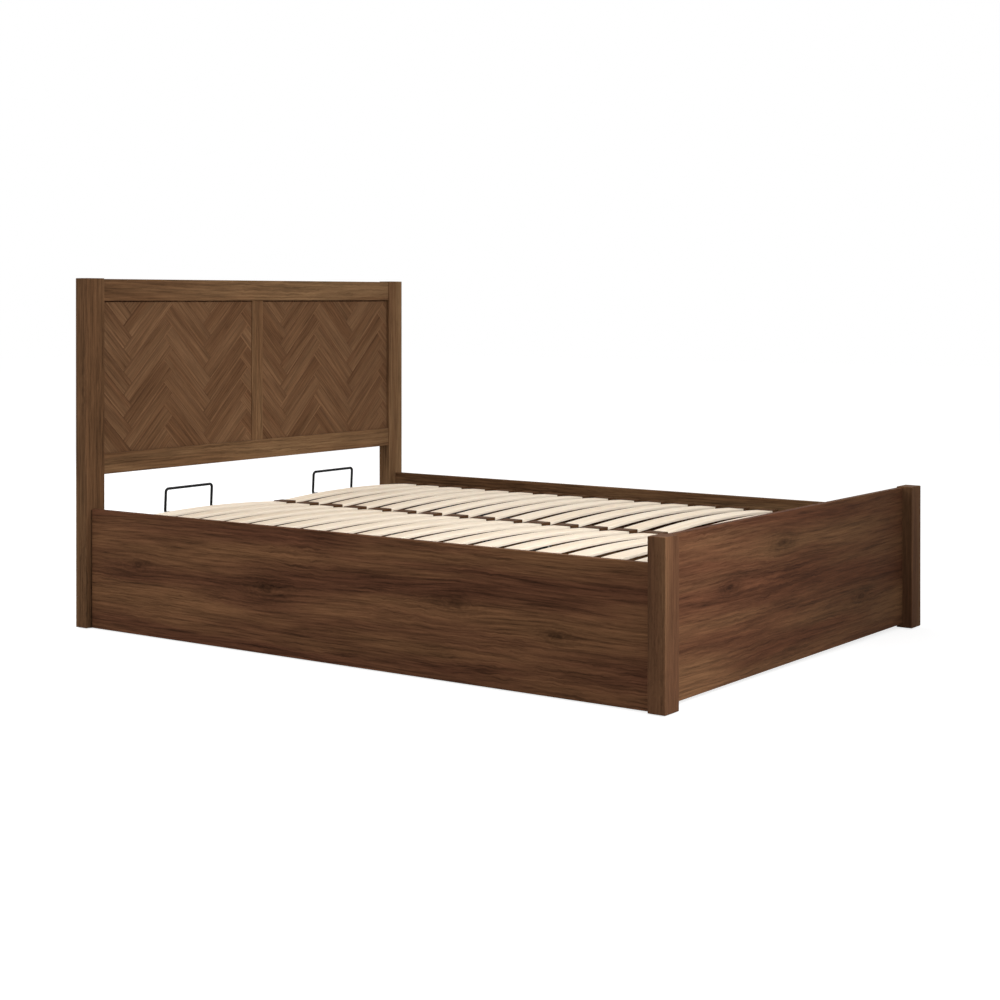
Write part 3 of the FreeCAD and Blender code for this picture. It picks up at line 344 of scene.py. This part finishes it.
def paint_walnut(finish, grain, tones, contrast, band, extra_light=None):
    """Colour and relief of walnut, from coordinates whose first runs along the grain."""
    bands = streaks(finish, grain, squeeze=0.09, scale=band, detail=3.0)
    figure = streaks(finish, grain, squeeze=0.045, scale=band * 4, detail=4.0, roughness=0.6)
    fibres = streaks(finish, grain, squeeze=0.035, scale=190.0, detail=5.0, roughness=0.7)
    lines = streaks(finish, grain, squeeze=0.025, scale=120.0, detail=3.0, roughness=0.55)
    pores = streaks(finish, grain, squeeze=0.06, scale=640.0, detail=2.0).step(0.58, 0.72)
    swing = bands.centred() + figure.centred() + fibres.centred() * FIBRE_STRENGTH
    light = (BASE_LIGHT + (swing - lines.step(0.56, 0.74) * LINE_DEPTH) * contrast
             - pores * PORE_DEPTH)
    if extra_light is not None:
        light = light * extra_light
    colour = finish.mix(bands.step(0.36, 0.66), *tones)
    finish.set(Base_Color=finish.scaled(colour, light),
               Roughness=0.58 + fibres.centred() * 0.3,
               Specular_IOR_Level=WOOD_SHINE)
    finish.relief((fibres - pores) * 0.6, distance=0.2 * MM, strength=0.3)
    return finish


def walnut(name, along, tones, seed, wander=0.05, contrast=1.0, band=11.0, knots=()):
    """A walnut finish whose grain runs along one axis of the bed."""
    finish = Finish(name)
    grain, light = grain_space(finish, along, seed, wander, knots)
    return paint_walnut(finish, grain, tones, contrast, band, light)


print("the thin lines darken the wood by up to", LINE_DEPTH)

# %% [markdown]
# ## Outer boards, rails and posts
#
# Grain runs along the length of a board, as wood is cut, and each finish has its own seed, so
# that no two show the same grain. The left side panel and the footboard look redder in the
# photograph, and have knots about where it shows them. The rails, the posts and the mullion
# between the headboard's panels are calmer.

# %% Finish the outer boards, rails and posts
PANEL_TONES = (srgb(88, 56, 40), srgb(102, 71, 48))
FOOT_TONES = (srgb(84, 53, 37), srgb(97, 69, 47))
HEAD_TONES = (srgb(98, 70, 48), srgb(111, 85, 60))
POST_TONES = (srgb(90, 61, 43), srgb(100, 72, 50))
LEFT_KNOTS = (((-0.702, 0.756, 0.2), 24 * MM), ((-0.702, 0.262, 0.178), 34 * MM),
              ((-0.702, -0.38, 0.2), 28 * MM), ((-0.702, -0.68, 0.15), 24 * MM))
RIGHT_KNOTS = (((0.702, -0.5, 0.21), 26 * MM), ((0.702, 0.4, 0.1), 20 * MM))
FOOT_KNOTS = (((-0.09, -0.966, 0.33), 28 * MM), ((0.38, -0.966, 0.13), 24 * MM),
              ((-0.36, -0.966, 0.25), 20 * MM))

wear(walnut("side_panel_walnut_left", "Y", PANEL_TONES, seed=2.3, knots=LEFT_KNOTS),
     "side_panel_left")
wear(walnut("side_panel_walnut_right", "Y", HEAD_TONES, seed=5.1, knots=RIGHT_KNOTS),
     "side_panel_right")
wear(walnut("footboard_walnut", "X", FOOT_TONES, seed=7.9, contrast=0.9, knots=FOOT_KNOTS),
     "footboard", "head_cross_panel")
wear(walnut("rail_walnut", "X", HEAD_TONES, seed=4.2, wander=0.03, contrast=0.75),
     "headboard_top_rail", "headboard_bottom_rail")
wear(walnut("head_post_walnut", "Z", HEAD_TONES, seed=2.9, wander=0.02, contrast=0.8),
     "head_post_left", "head_post_right", "headboard_mullion")
wear(walnut("foot_post_walnut", "Z", POST_TONES, seed=3.9, wander=0.02, contrast=0.55),
     "foot_post_left", "foot_post_right")
walnuts = [material.name for material in bpy.data.materials if "walnut" in material.name]
print("walnut materials, with those of the frame:", walnuts)

# %% [markdown]
# ## Plainer finishes
#
# Steel, plastic, rubber and the storage floor have no grain. Each still has its own small
# variation, because a single flat colour never looks like a surface: a cloud between two close
# colours, and a speckle that changes the gloss and leaves a fine texture.


# %% Define the plainer finishes
def mottled(name, colour, shade, roughness, scale, bump, metallic=0.0, spread=0.25,
            specular=0.5):
    """A finish whose colour and roughness vary softly, with a fine texture."""
    finish = Finish(name)
    place = finish.place("Object")
    cloud = finish.noise(place, scale * 0.05, detail=3.0, roughness=0.6)
    speckle = finish.noise(place, scale)
    finish.set(Base_Color=finish.mix(cloud.step(0.3, 0.7), colour, shade),
               Roughness=roughness + speckle.centred() * spread,
               Metallic=metallic, Specular_IOR_Level=specular)
    finish.relief(speckle, bump, strength=0.5)
    return finish


# %% [markdown]
# ## Steel
#
# The lift's plates and arms are painted black, and the platform's tubes have a brown powder
# coat that goes with the wood. Screws, brackets and pins are zinc plated, the struts' rods are
# chromed, and the mattress retainers are thin black wire.

# %% Finish the steel
mechanism_coat = mottled("mechanism_black", (0.018, 0.018, 0.02), (0.028, 0.028, 0.03),
                         roughness=0.42, scale=900.0, bump=0.2 * MM)
frame_coat = mottled("frame_brown_coat", srgb(74, 50, 34), srgb(84, 58, 40),
                     roughness=0.55, scale=800.0, bump=0.2 * MM, specular=0.05)
zinc = mottled("zinc_plate", (0.58, 0.58, 0.56), (0.44, 0.45, 0.45),
               roughness=0.36, scale=700.0, bump=0.1 * MM, metallic=1.0)
rod_chrome = mottled("rod_chrome", (0.72, 0.72, 0.72), (0.66, 0.66, 0.67),
                     roughness=0.14, scale=300.0, bump=0.02 * MM, metallic=1.0, spread=0.08)
strut_paint = mottled("strut_black", (0.012, 0.012, 0.013), (0.016, 0.016, 0.018),
                      roughness=0.22, scale=500.0, bump=0.05 * MM, spread=0.1)
wire_coat = mottled("retainer_black", (0.008, 0.008, 0.009), (0.012, 0.012, 0.013),
                    roughness=0.6, scale=900.0, bump=0.1 * MM, specular=0.12)
wear(mechanism_coat, "lift_base_plate_left", "lift_base_plate_right", "long_arm_left",
     "long_arm_right", "short_arm_left", "short_arm_right", "lift_top_plate_left",
     "lift_top_plate_right")
wear(frame_coat, "platform_side_rail_left", "platform_side_rail_right", "platform_head_rail",
     "platform_foot_rail", "platform_centre_rail")
wear(zinc, "corner_brackets", "bracket_screws", "base_plate_screws", "top_plate_bolts",
     "base_pivot_pins", "follower_pivot_pins", "strut_studs", "top_pivot_pins")
wear(rod_chrome, "strut_rod_left", "strut_rod_right")
wear(strut_paint, "strut_cylinder_left", "strut_cylinder_right")
wear(wire_coat, "mattress_retainer_left", "mattress_retainer_right")
print("steel wears:", zinc.material.name, "and", frame_coat.material.name)

# %% [markdown]
# ## Plastic and rubber
#
# The slats sit in moulded holders, brown like the rails that carry them. They look matt in
# the photograph, so their shine is kept low. Glides, feet and clamps are black plastic, and
# the buffers that the platform rests on are rubber.

# %% Finish the plastic and rubber
holder_plastic = mottled("holder_brown_plastic", srgb(78, 54, 36), srgb(90, 64, 43),
                         roughness=0.6, scale=1200.0, bump=0.1 * MM, specular=0.03)
black_plastic = mottled("black_plastic", (0.02, 0.02, 0.02), (0.03, 0.03, 0.03),
                        roughness=0.55, scale=1200.0, bump=0.1 * MM)
rubber = mottled("buffer_rubber", (0.014, 0.014, 0.014), (0.02, 0.02, 0.02),
                 roughness=0.75, scale=900.0, bump=0.2 * MM)
wear(holder_plastic, "centre_slat_holders", "outer_slat_holders", "rail_end_plugs")
wear(black_plastic, "post_glides", "centre_feet", "retainer_clamps")
wear(rubber, "platform_buffers")
print("the slats' holders wear:", holder_plastic.material.name)

# %% [markdown]
# ## Inside the storage box
#
# The floor is pale board on battens of sawn pine. The ledges that the platform rests on get a
# dark tone as painted shade, so that the gaps between the slats look dark from above, and the
# backs of the headboard panels are a plain brown. All but the floor reuse the walnut recipe with
# other tones.

# %% Finish the inside
PINE_TONES = (srgb(170, 128, 86), srgb(206, 170, 122))
LEDGE_SHADE_TONES = (srgb(62, 42, 30), srgb(74, 52, 37))
BACK_TONES = (srgb(78, 54, 38), srgb(90, 66, 46))

wear(mottled("storage_floor", srgb(176, 150, 122), srgb(160, 134, 106),
             roughness=0.6, scale=500.0, bump=0.1 * MM), "storage_floor_boards")
wear(walnut("batten_pine_y", "Y", PINE_TONES, seed=3.1, wander=0.03, contrast=0.6, band=60.0),
     "floor_batten_left", "floor_batten_right", "centre_floor_batten")
# Painted shade: the ledges' dark tones stand in for the shade that darkens the gaps between the
# slats.
wear(walnut("ledge_walnut_y", "Y", LEDGE_SHADE_TONES, seed=6.1, wander=0.03, contrast=0.8),
     "side_ledge_left", "side_ledge_right")
wear(walnut("ledge_walnut_x", "X", LEDGE_SHADE_TONES, seed=5.3, wander=0.03, contrast=0.8),
     "foot_ledge", "head_ledge")
wear(walnut("panel_back", "Z", BACK_TONES, seed=8.8),
     "headboard_panel_left", "headboard_panel_right")
print("the ledges' darker tone is", [round(value, 3) for value in LEDGE_SHADE_TONES[0]])

# %% [markdown]
# ## Where the herringbone boards lie
#
# Each headboard panel is faced with short boards that lean left and right by turns, and every
# board's end meets the side of the next one. The pattern could be painted on a flat panel, but
# real boards leave fine joints between them. So each one gets its own outline, turned by 45
# degrees and cut off at the edges of the panel, with a gap for the shadow under the top rail.

# %% Lay out the herringbone
BOARD_WIDTH = 48 * MM
BOARD_LENGTH = 232 * MM
BOARD_GAP = 0.25 * MM
FIRST_VALLEY = 100 * MM
SHADOW_GAP = 4 * MM
LEAN = math.radians(45)
ROW_STEP = BOARD_WIDTH / math.sin(LEAN)


def board_places(low, high):
    """Place and size of every board along and across the lean, rising and falling by turns."""
    column = BOARD_LENGTH * math.sin(LEAN)
    pairs = math.ceil((high.x - low.x) / (2 * column)) + 1
    rows = math.ceil((high.z - low.z + 2 * column) / ROW_STEP)
    for pair in range(-1, pairs):
        for row in range(-rows, rows + 1):
            first = row * BOARD_WIDTH + pair * BOARD_LENGTH
            second = row * BOARD_WIDTH - pair * BOARD_LENGTH
            yield first, second, BOARD_LENGTH, BOARD_WIDTH
            yield (first + BOARD_LENGTH, second + BOARD_WIDTH - BOARD_LENGTH,
                   BOARD_WIDTH, BOARD_LENGTH)


def board_outline(along, across, run, rise, start, shift):
    """Corner points of one board on the panel, each with its texture coordinates."""
    corners = []
    run_end = run - BOARD_GAP
    rise_end = rise - BOARD_GAP
    for u, v in ((0, 0), (run_end, 0), (run_end, rise_end), (0, rise_end)):
        first = along + u
        second = across + v
        turned = Vector((first * math.cos(LEAN) - second * math.sin(LEAN),
                         first * math.sin(LEAN) + second * math.cos(LEAN)))
        texture = Vector((u, v)) if run > rise else Vector((v, u))
        corners.append((turned + start, texture + shift))
    return corners


def clip(points, low, high):
    """The part of a convex outline that lies inside an upright rectangle."""
    for axis, limit, sign in ((0, low[0], 1), (0, high[0], -1), (1, low[1], 1), (1, high[1], -1)):
        kept = []
        for first, second in zip(points, points[1:] + points[:1]):
            inside = (first[0][axis] - limit) * sign
            beyond = (second[0][axis] - limit) * sign
            if inside >= 0:
                kept.append(first)
            if inside * beyond < 0:
                share = inside / (inside - beyond)
                kept.append(tuple(a.lerp(b, share) for a, b in zip(first, second)))
        points = kept
    return points


print("rows of boards follow each other every", round(ROW_STEP / MM, 1), "mm")

# %% [markdown]
# ## Making the boards
#
# Every outline becomes a thin solid board with softened edges. Its texture coordinates are
# metres along and across the board, moved to a chance place in the grain, so that no two
# boards show the same figure. Across the grain they move by whole metres only, so that the
# finish can still tell how far a point lies from the board's edge.

# %% Define how boards are made
BOARD_EDGE = 0.3 * MM
GRAIN_REACH = 40


def place_in_grain(chance):
    """A chance place in the grain, in metres: any place along it, whole metres across it."""
    return Vector((chance.uniform(0, GRAIN_REACH), chance.randint(1, GRAIN_REACH)))


def add_board(mesh, texture, outline, front_y, back_y):
    """Add one solid board between the panel and its visible face."""
    front = [mesh.verts.new((p.x, front_y, p.y)) for p, t in outline]
    back = [mesh.verts.new((p.x, back_y, p.y)) for p, t in outline]
    faces = [(mesh.faces.new(front), [t for p, t in outline])]
    for index in range(len(outline)):
        other = (index + 1) % len(outline)
        side = mesh.faces.new((front[other], front[index], back[index], back[other]))
        here, there = outline[index][1], outline[other][1]
        faces.append((side, [there, here, here, there]))
    faces.append((mesh.faces.new(back[::-1]), [t for p, t in outline[::-1]]))
    for face, marks in faces:
        for loop, mark in zip(face.loops, marks):
            loop[texture].uv = mark


def finished_piece(mesh, name, finish):
    """Turn a built mesh into an object of the scene that wears a finish."""
    bmesh.ops.recalc_face_normals(mesh, faces=mesh.faces[:])
    data = bpy.data.meshes.new(name)
    mesh.to_mesh(data)
    mesh.free()
    data.materials.append(finish.material)
    piece = bpy.data.objects.new(name, data)
    bpy.context.scene.collection.objects.link(piece)
    return piece


def herringbone(node, name, finish, seed):
    """Face one headboard panel with boards and count them."""
    low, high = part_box(node)
    chance = random.Random(seed)
    start = Vector((low.x + FIRST_VALLEY + ROW_STEP / 4, low.z))
    mesh = bmesh.new()
    texture = mesh.loops.layers.uv.new("grain")
    count = 0
    for place in board_places(low, high):
        outline = board_outline(*place, start, place_in_grain(chance))
        outline = clip(outline, (low.x, low.z), (high.x, high.z - SHADOW_GAP))
        if len(outline) >= 3:
            add_board(mesh, texture, outline, low.y, high.y)
            count += 1
    piece = finished_piece(mesh, name, finish)
    soften = piece.modifiers.new("soften", "BEVEL")
    soften.width = BOARD_EDGE
    soften.segments = 2
    soften.limit_method = "ANGLE"
    soften.loop_slide = False
    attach(piece, "bed_frame")
    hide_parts(node)
    return count


# %% [markdown]
# ## The boards' finish
#
# The boards are veneered in the same walnut, with some pale streaks. Light catches one long
# edge of each board and leaves the other in shade. Those edges are far narrower than a pixel,
# so the finish draws a pale line beside one edge and a darker one beside the other.

# %% Face the headboard panels
BOARD_TONES = (srgb(96, 68, 47), srgb(103, 76, 54))
PALE_EDGE = (1 * MM, 5 * MM)
DARK_EDGE = (42 * MM, 47 * MM)


def board_walnut(name):
    """Walnut that lies along each board, with its pale streaks and edge lines."""
    finish = Finish(name)
    place = finish.place("UV")
    across = finish.node("ShaderNodeSeparateXYZ", {}, [place], "Y").math("FRACT")
    pale = streaks(finish, place, squeeze=0.02, scale=70.0, detail=2.0).step(0.55, 0.68)
    near_edge = 1 - across.step(*PALE_EDGE)
    far_edge = across.step(*DARK_EDGE)
    light = 0.98 + pale * 0.2 + near_edge * 0.26 - far_edge * 0.1
    return paint_walnut(finish, place, BOARD_TONES, contrast=0.68, band=16.0, extra_light=light)


board_wood = board_walnut("board_walnut")
for word, seed in (("left", 11), ("right", 12)):
    made = herringbone(f"herringbone_{word}", f"herringbone_boards_{word}", board_wood, seed)
    print("herringbone boards,", word, "panel:", made)

# %% [markdown]
# ## Bowed birch slats
#
# The slats are bent from thin layers of birch glued together, so they bow upwards in the
# middle and press flat under the mattress. A slat could be a bent box, but its long edges are
# rounded. So one rounded section is swept along the arc, in a row of slats on either side.

# %% Define how slats are made
SLAT_ROWS = 18
SLAT_THICKNESS = 8 * MM
SLAT_WIDTH = 53 * MM
SLAT_EDGE = 1.1 * MM
BOW_STEPS = 24
EDGE_STEPS = 3


def rounded_section(width, height, radius, steps):
    """Points round a rectangle with rounded corners, from its lower right corner."""
    points = []
    corners = ((width / 2 - radius, radius, -90), (width / 2 - radius, height - radius, 0),
               (radius - width / 2, height - radius, 90), (radius - width / 2, radius, 180))
    for across, up, start in corners:
        for step in range(steps + 1):
            angle = math.radians(start + 90 * step / steps)
            points.append(Vector((across + radius * math.cos(angle),
                                  up + radius * math.sin(angle))))
    return points


def add_slat(mesh, texture, section, centre, half, bow, shift):
    """Sweep the section along an arc, with texture coordinates along and round the slat."""
    radius = (half * half + bow * bow) / (2 * bow)
    rings = []
    for step in range(BOW_STEPS + 1):
        x = -half + 2 * half * step / BOW_STEPS
        lift = math.sqrt(radius * radius - x * x) - (radius - bow)
        rings.append([mesh.verts.new(centre + Vector((x, p.x, lift + p.y))) for p in section])
    girth = [0.0]
    for first, second in zip(section, section[1:] + section[:1]):
        girth.append(girth[-1] + (second - first).length)
    run = 2 * half / BOW_STEPS
    for step in range(BOW_STEPS):
        for index in range(len(section)):
            other = (index + 1) % len(section)
            face = mesh.faces.new((rings[step][index], rings[step][other],
                                   rings[step + 1][other], rings[step + 1][index]))
            marks = ((step, index), (step, index + 1), (step + 1, index + 1), (step + 1, index))
            for loop, (place, around) in zip(face.loops, marks):
                loop[texture].uv = shift + Vector((place * run, girth[around]))
            face.smooth = True
    for ring in (rings[0][::-1], rings[-1]):
        face = mesh.faces.new(ring)
        for loop in face.loops:
            loop[texture].uv = shift + Vector((loop.vert.co.y, loop.vert.co.z))


def slat_row(node, name, finish, seed):
    """Make one row of slats and give the distance from slat to slat."""
    low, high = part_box(node)
    chance = random.Random(seed)
    half = (high.x - low.x) / 2
    bow = high.z - low.z - SLAT_THICKNESS
    section = rounded_section(SLAT_WIDTH, SLAT_THICKNESS, SLAT_EDGE, EDGE_STEPS)
    pitch = (high.y - low.y - SLAT_WIDTH) / (SLAT_ROWS - 1)
    mesh = bmesh.new()
    texture = mesh.loops.layers.uv.new("grain")
    for row in range(SLAT_ROWS):
        centre = Vector(((low.x + high.x) / 2, low.y + SLAT_WIDTH / 2 + row * pitch, low.z))
        add_slat(mesh, texture, section, centre, half, bow, place_in_grain(chance))
    piece = finished_piece(mesh, name, finish)
    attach(piece, "platform")
    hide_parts(node)
    return pitch


# %% [markdown]
# ## Birch
#
# Birch is pale and even: a faint cloud, a soft wavy figure and fine fibre run along each slat,
# through a ramp of three close tones. The texture coordinates also tell how far round the slat
# a point lies, so the sides and the underside can be plainer than the top, and paler: painted
# light that lifts the shaded fronts of the slats close to the tone of their tops.

# %% Make the slats
BIRCH_STOPS = [(0.25, srgb(231, 209, 181)), (0.5, srgb(243, 225, 201)),
               (0.75, srgb(249, 234, 213))]
SIDE_PAINTED_LIGHT = srgb(251, 238, 219)
SLAT_GRAIN_LENGTH = 14.0
TOP_START = (6.6 * MM, 7.6 * MM)
TOP_END = (58.5 * MM, 59.5 * MM)


def birch(name):
    """Pale slat birch, a little rougher where the fibre is, with painted light on its sides."""
    finish = Finish(name)
    place = finish.place("UV")
    space = squeezed(finish, place, "X", SLAT_GRAIN_LENGTH)
    cloud = finish.noise(space, scale=12.0)
    figure = (finish.noise(space, scale=26.0) * 26).wave()
    fibre = finish.noise(space, scale=420.0, detail=3.0, roughness=0.6)
    tone = cloud * 0.5 + figure * 0.18 + fibre * 0.32
    shade = finish.node("ShaderNodeValToRGB", {"stops": BIRCH_STOPS}, {"Fac": tone})
    around = finish.node("ShaderNodeSeparateXYZ", {}, [place], "Y").math("FRACT")
    # Painted light: the sides and underside are mixed most of the way to a paler tone, so that
    # the shaded fronts of the slats come out nearly as bright as their tops.
    side = 1 - around.step(*TOP_START) + around.step(*TOP_END)
    finish.set(Base_Color=finish.mix(side * 0.8, shade, SIDE_PAINTED_LIGHT),
               Roughness=0.5 + fibre * 0.15, Specular_IOR_Level=0.3)
    finish.relief(fibre, distance=0.2 * MM, strength=0.4)
    return finish


slat_birch = birch("slat_birch")
for word, seed in (("left", 21), ("right", 22)):
    pitch = slat_row(f"slats_{word}", f"bowed_slats_{word}", slat_birch, seed)
    print("slats,", word, "row, pitch:", round(pitch / MM, 1), "mm")

# %% [markdown]
# ## Studio lamps
#
# The bed stands in soft light from area lamps, which a studio would make with softboxes. The
# key lamp hangs in front of the foot end and aims at the headboard, so it also lights the
# fronts of the slats. A small lamp brightens the foot end's left corner. Larger ones light the
# left side and the top, and one behind the bed lights its back, which the photograph doesn't
# show.


# %% Hang the lamps
def lamp(name, place, aim, size, power, spread=180):
    """An area lamp that hangs at a place and aims at a point."""
    light = bpy.data.lights.new(name, "AREA")
    light.shape = "RECTANGLE"
    light.size, light.size_y = size
    light.energy = power
    light.spread = math.radians(spread)
    item = bpy.data.objects.new(name, light)
    item.location = place
    item.rotation_euler = (Vector(aim) - Vector(place)).to_track_quat("-Z", "Y").to_euler()
    bpy.context.scene.collection.objects.link(item)


lamp("key", place=(-0.5, -3.0, 2.4), aim=(0.15, 0.97, 1.0), size=(2.0, 1.2), power=16.2,
     spread=70)
lamp("foot", place=(-0.62, -2.2, 0.9), aim=(-0.66, -0.95, 0.2), size=(0.5, 0.5), power=3.9,
     spread=80)
lamp("side", place=(-4.0, 1.3, 2.6), aim=(-0.4, 0.4, 0.3), size=(2.0, 2.0), power=58)
lamp("top", place=(0.6, 0.9, 4.2), aim=(0.1, 0.4, 0), size=(3.0, 3.0), power=22)
lamp("back", place=(0.6, 5.0, 2.6), aim=(0, 0.97, 0.5), size=(3.0, 2.0), power=85)

# %% [markdown]
# ## Sky and floor
#
# The photograph's background is plain white. Light that is strong enough to turn a floor white
# would bleach the bed. So the Light Path node tells the rays apart: the sky and the floor look
# white to the camera and to reflections, and light the bed only at a plain level, at which
# each colour renders about as it is written. The floor keeps the bed's faint shadow.


# %% Define what the camera sees
def seen_directly(graph):
    """1 for camera, mirror and glass rays, and 0 for the light that falls on the bed."""
    rays = [graph.node("ShaderNodeLightPath", output=name)
            for name in ("Is Camera Ray", "Is Glossy Ray", "Is Transmission Ray")]
    return rays[0].math("MAXIMUM", rays[1]).math("MAXIMUM", rays[2])


# %% Make the sky
AMBIENT = 0.45
sky = bpy.data.worlds.new("studio")
sky.use_nodes = True
sky_graph = Graph(sky.node_tree)
background = sky.node_tree.nodes["Background"]
background.inputs["Color"].default_value = (1, 1, 1, 1)
level = sky_graph.node("ShaderNodeMapRange", {}, {"Value": seen_directly(sky_graph),
                                                  "To Min": AMBIENT, "To Max": 1.0})
sky_graph.feed(background.inputs["Strength"], level)
bpy.context.scene.world = sky
bpy.context.scene.view_settings.view_transform = "Standard"
print("the sky lights the bed at", AMBIENT, "of white")

# %% Make the floor
FLOOR_REACH = 20
FLOOR_COLOUR = (0.5, 0.5, 0.5)
FLOOR_GLOW = 0.78

floor_mesh = bpy.data.meshes.new("floor")
corners = [(-FLOOR_REACH, -FLOOR_REACH, 0), (FLOOR_REACH, -FLOOR_REACH, 0),
           (FLOOR_REACH, FLOOR_REACH, 0), (-FLOOR_REACH, FLOOR_REACH, 0)]
floor_mesh.from_pydata(corners, [], [(0, 1, 2, 3)])
floor = bpy.data.objects.new("floor", floor_mesh)
bpy.context.scene.collection.objects.link(floor)
paper = Finish("white_floor")
paper.set(Base_Color=FLOOR_COLOUR, Roughness=0.9, Specular_IOR_Level=0.0)
plain = Signal(paper, paper.shader.outputs["BSDF"])
glow = paper.node("ShaderNodeEmission", {}, {"Strength": FLOOR_GLOW})
bright = paper.node("ShaderNodeAddShader", {}, [plain, glow])
surface = paper.node("ShaderNodeMixShader", {}, [seen_directly(paper), plain, bright])
paper.feed(paper.tree.nodes["Material Output"].inputs["Surface"], surface)
floor_mesh.materials.append(paper.material)
print("the floor is", 2 * FLOOR_REACH, "m wide")
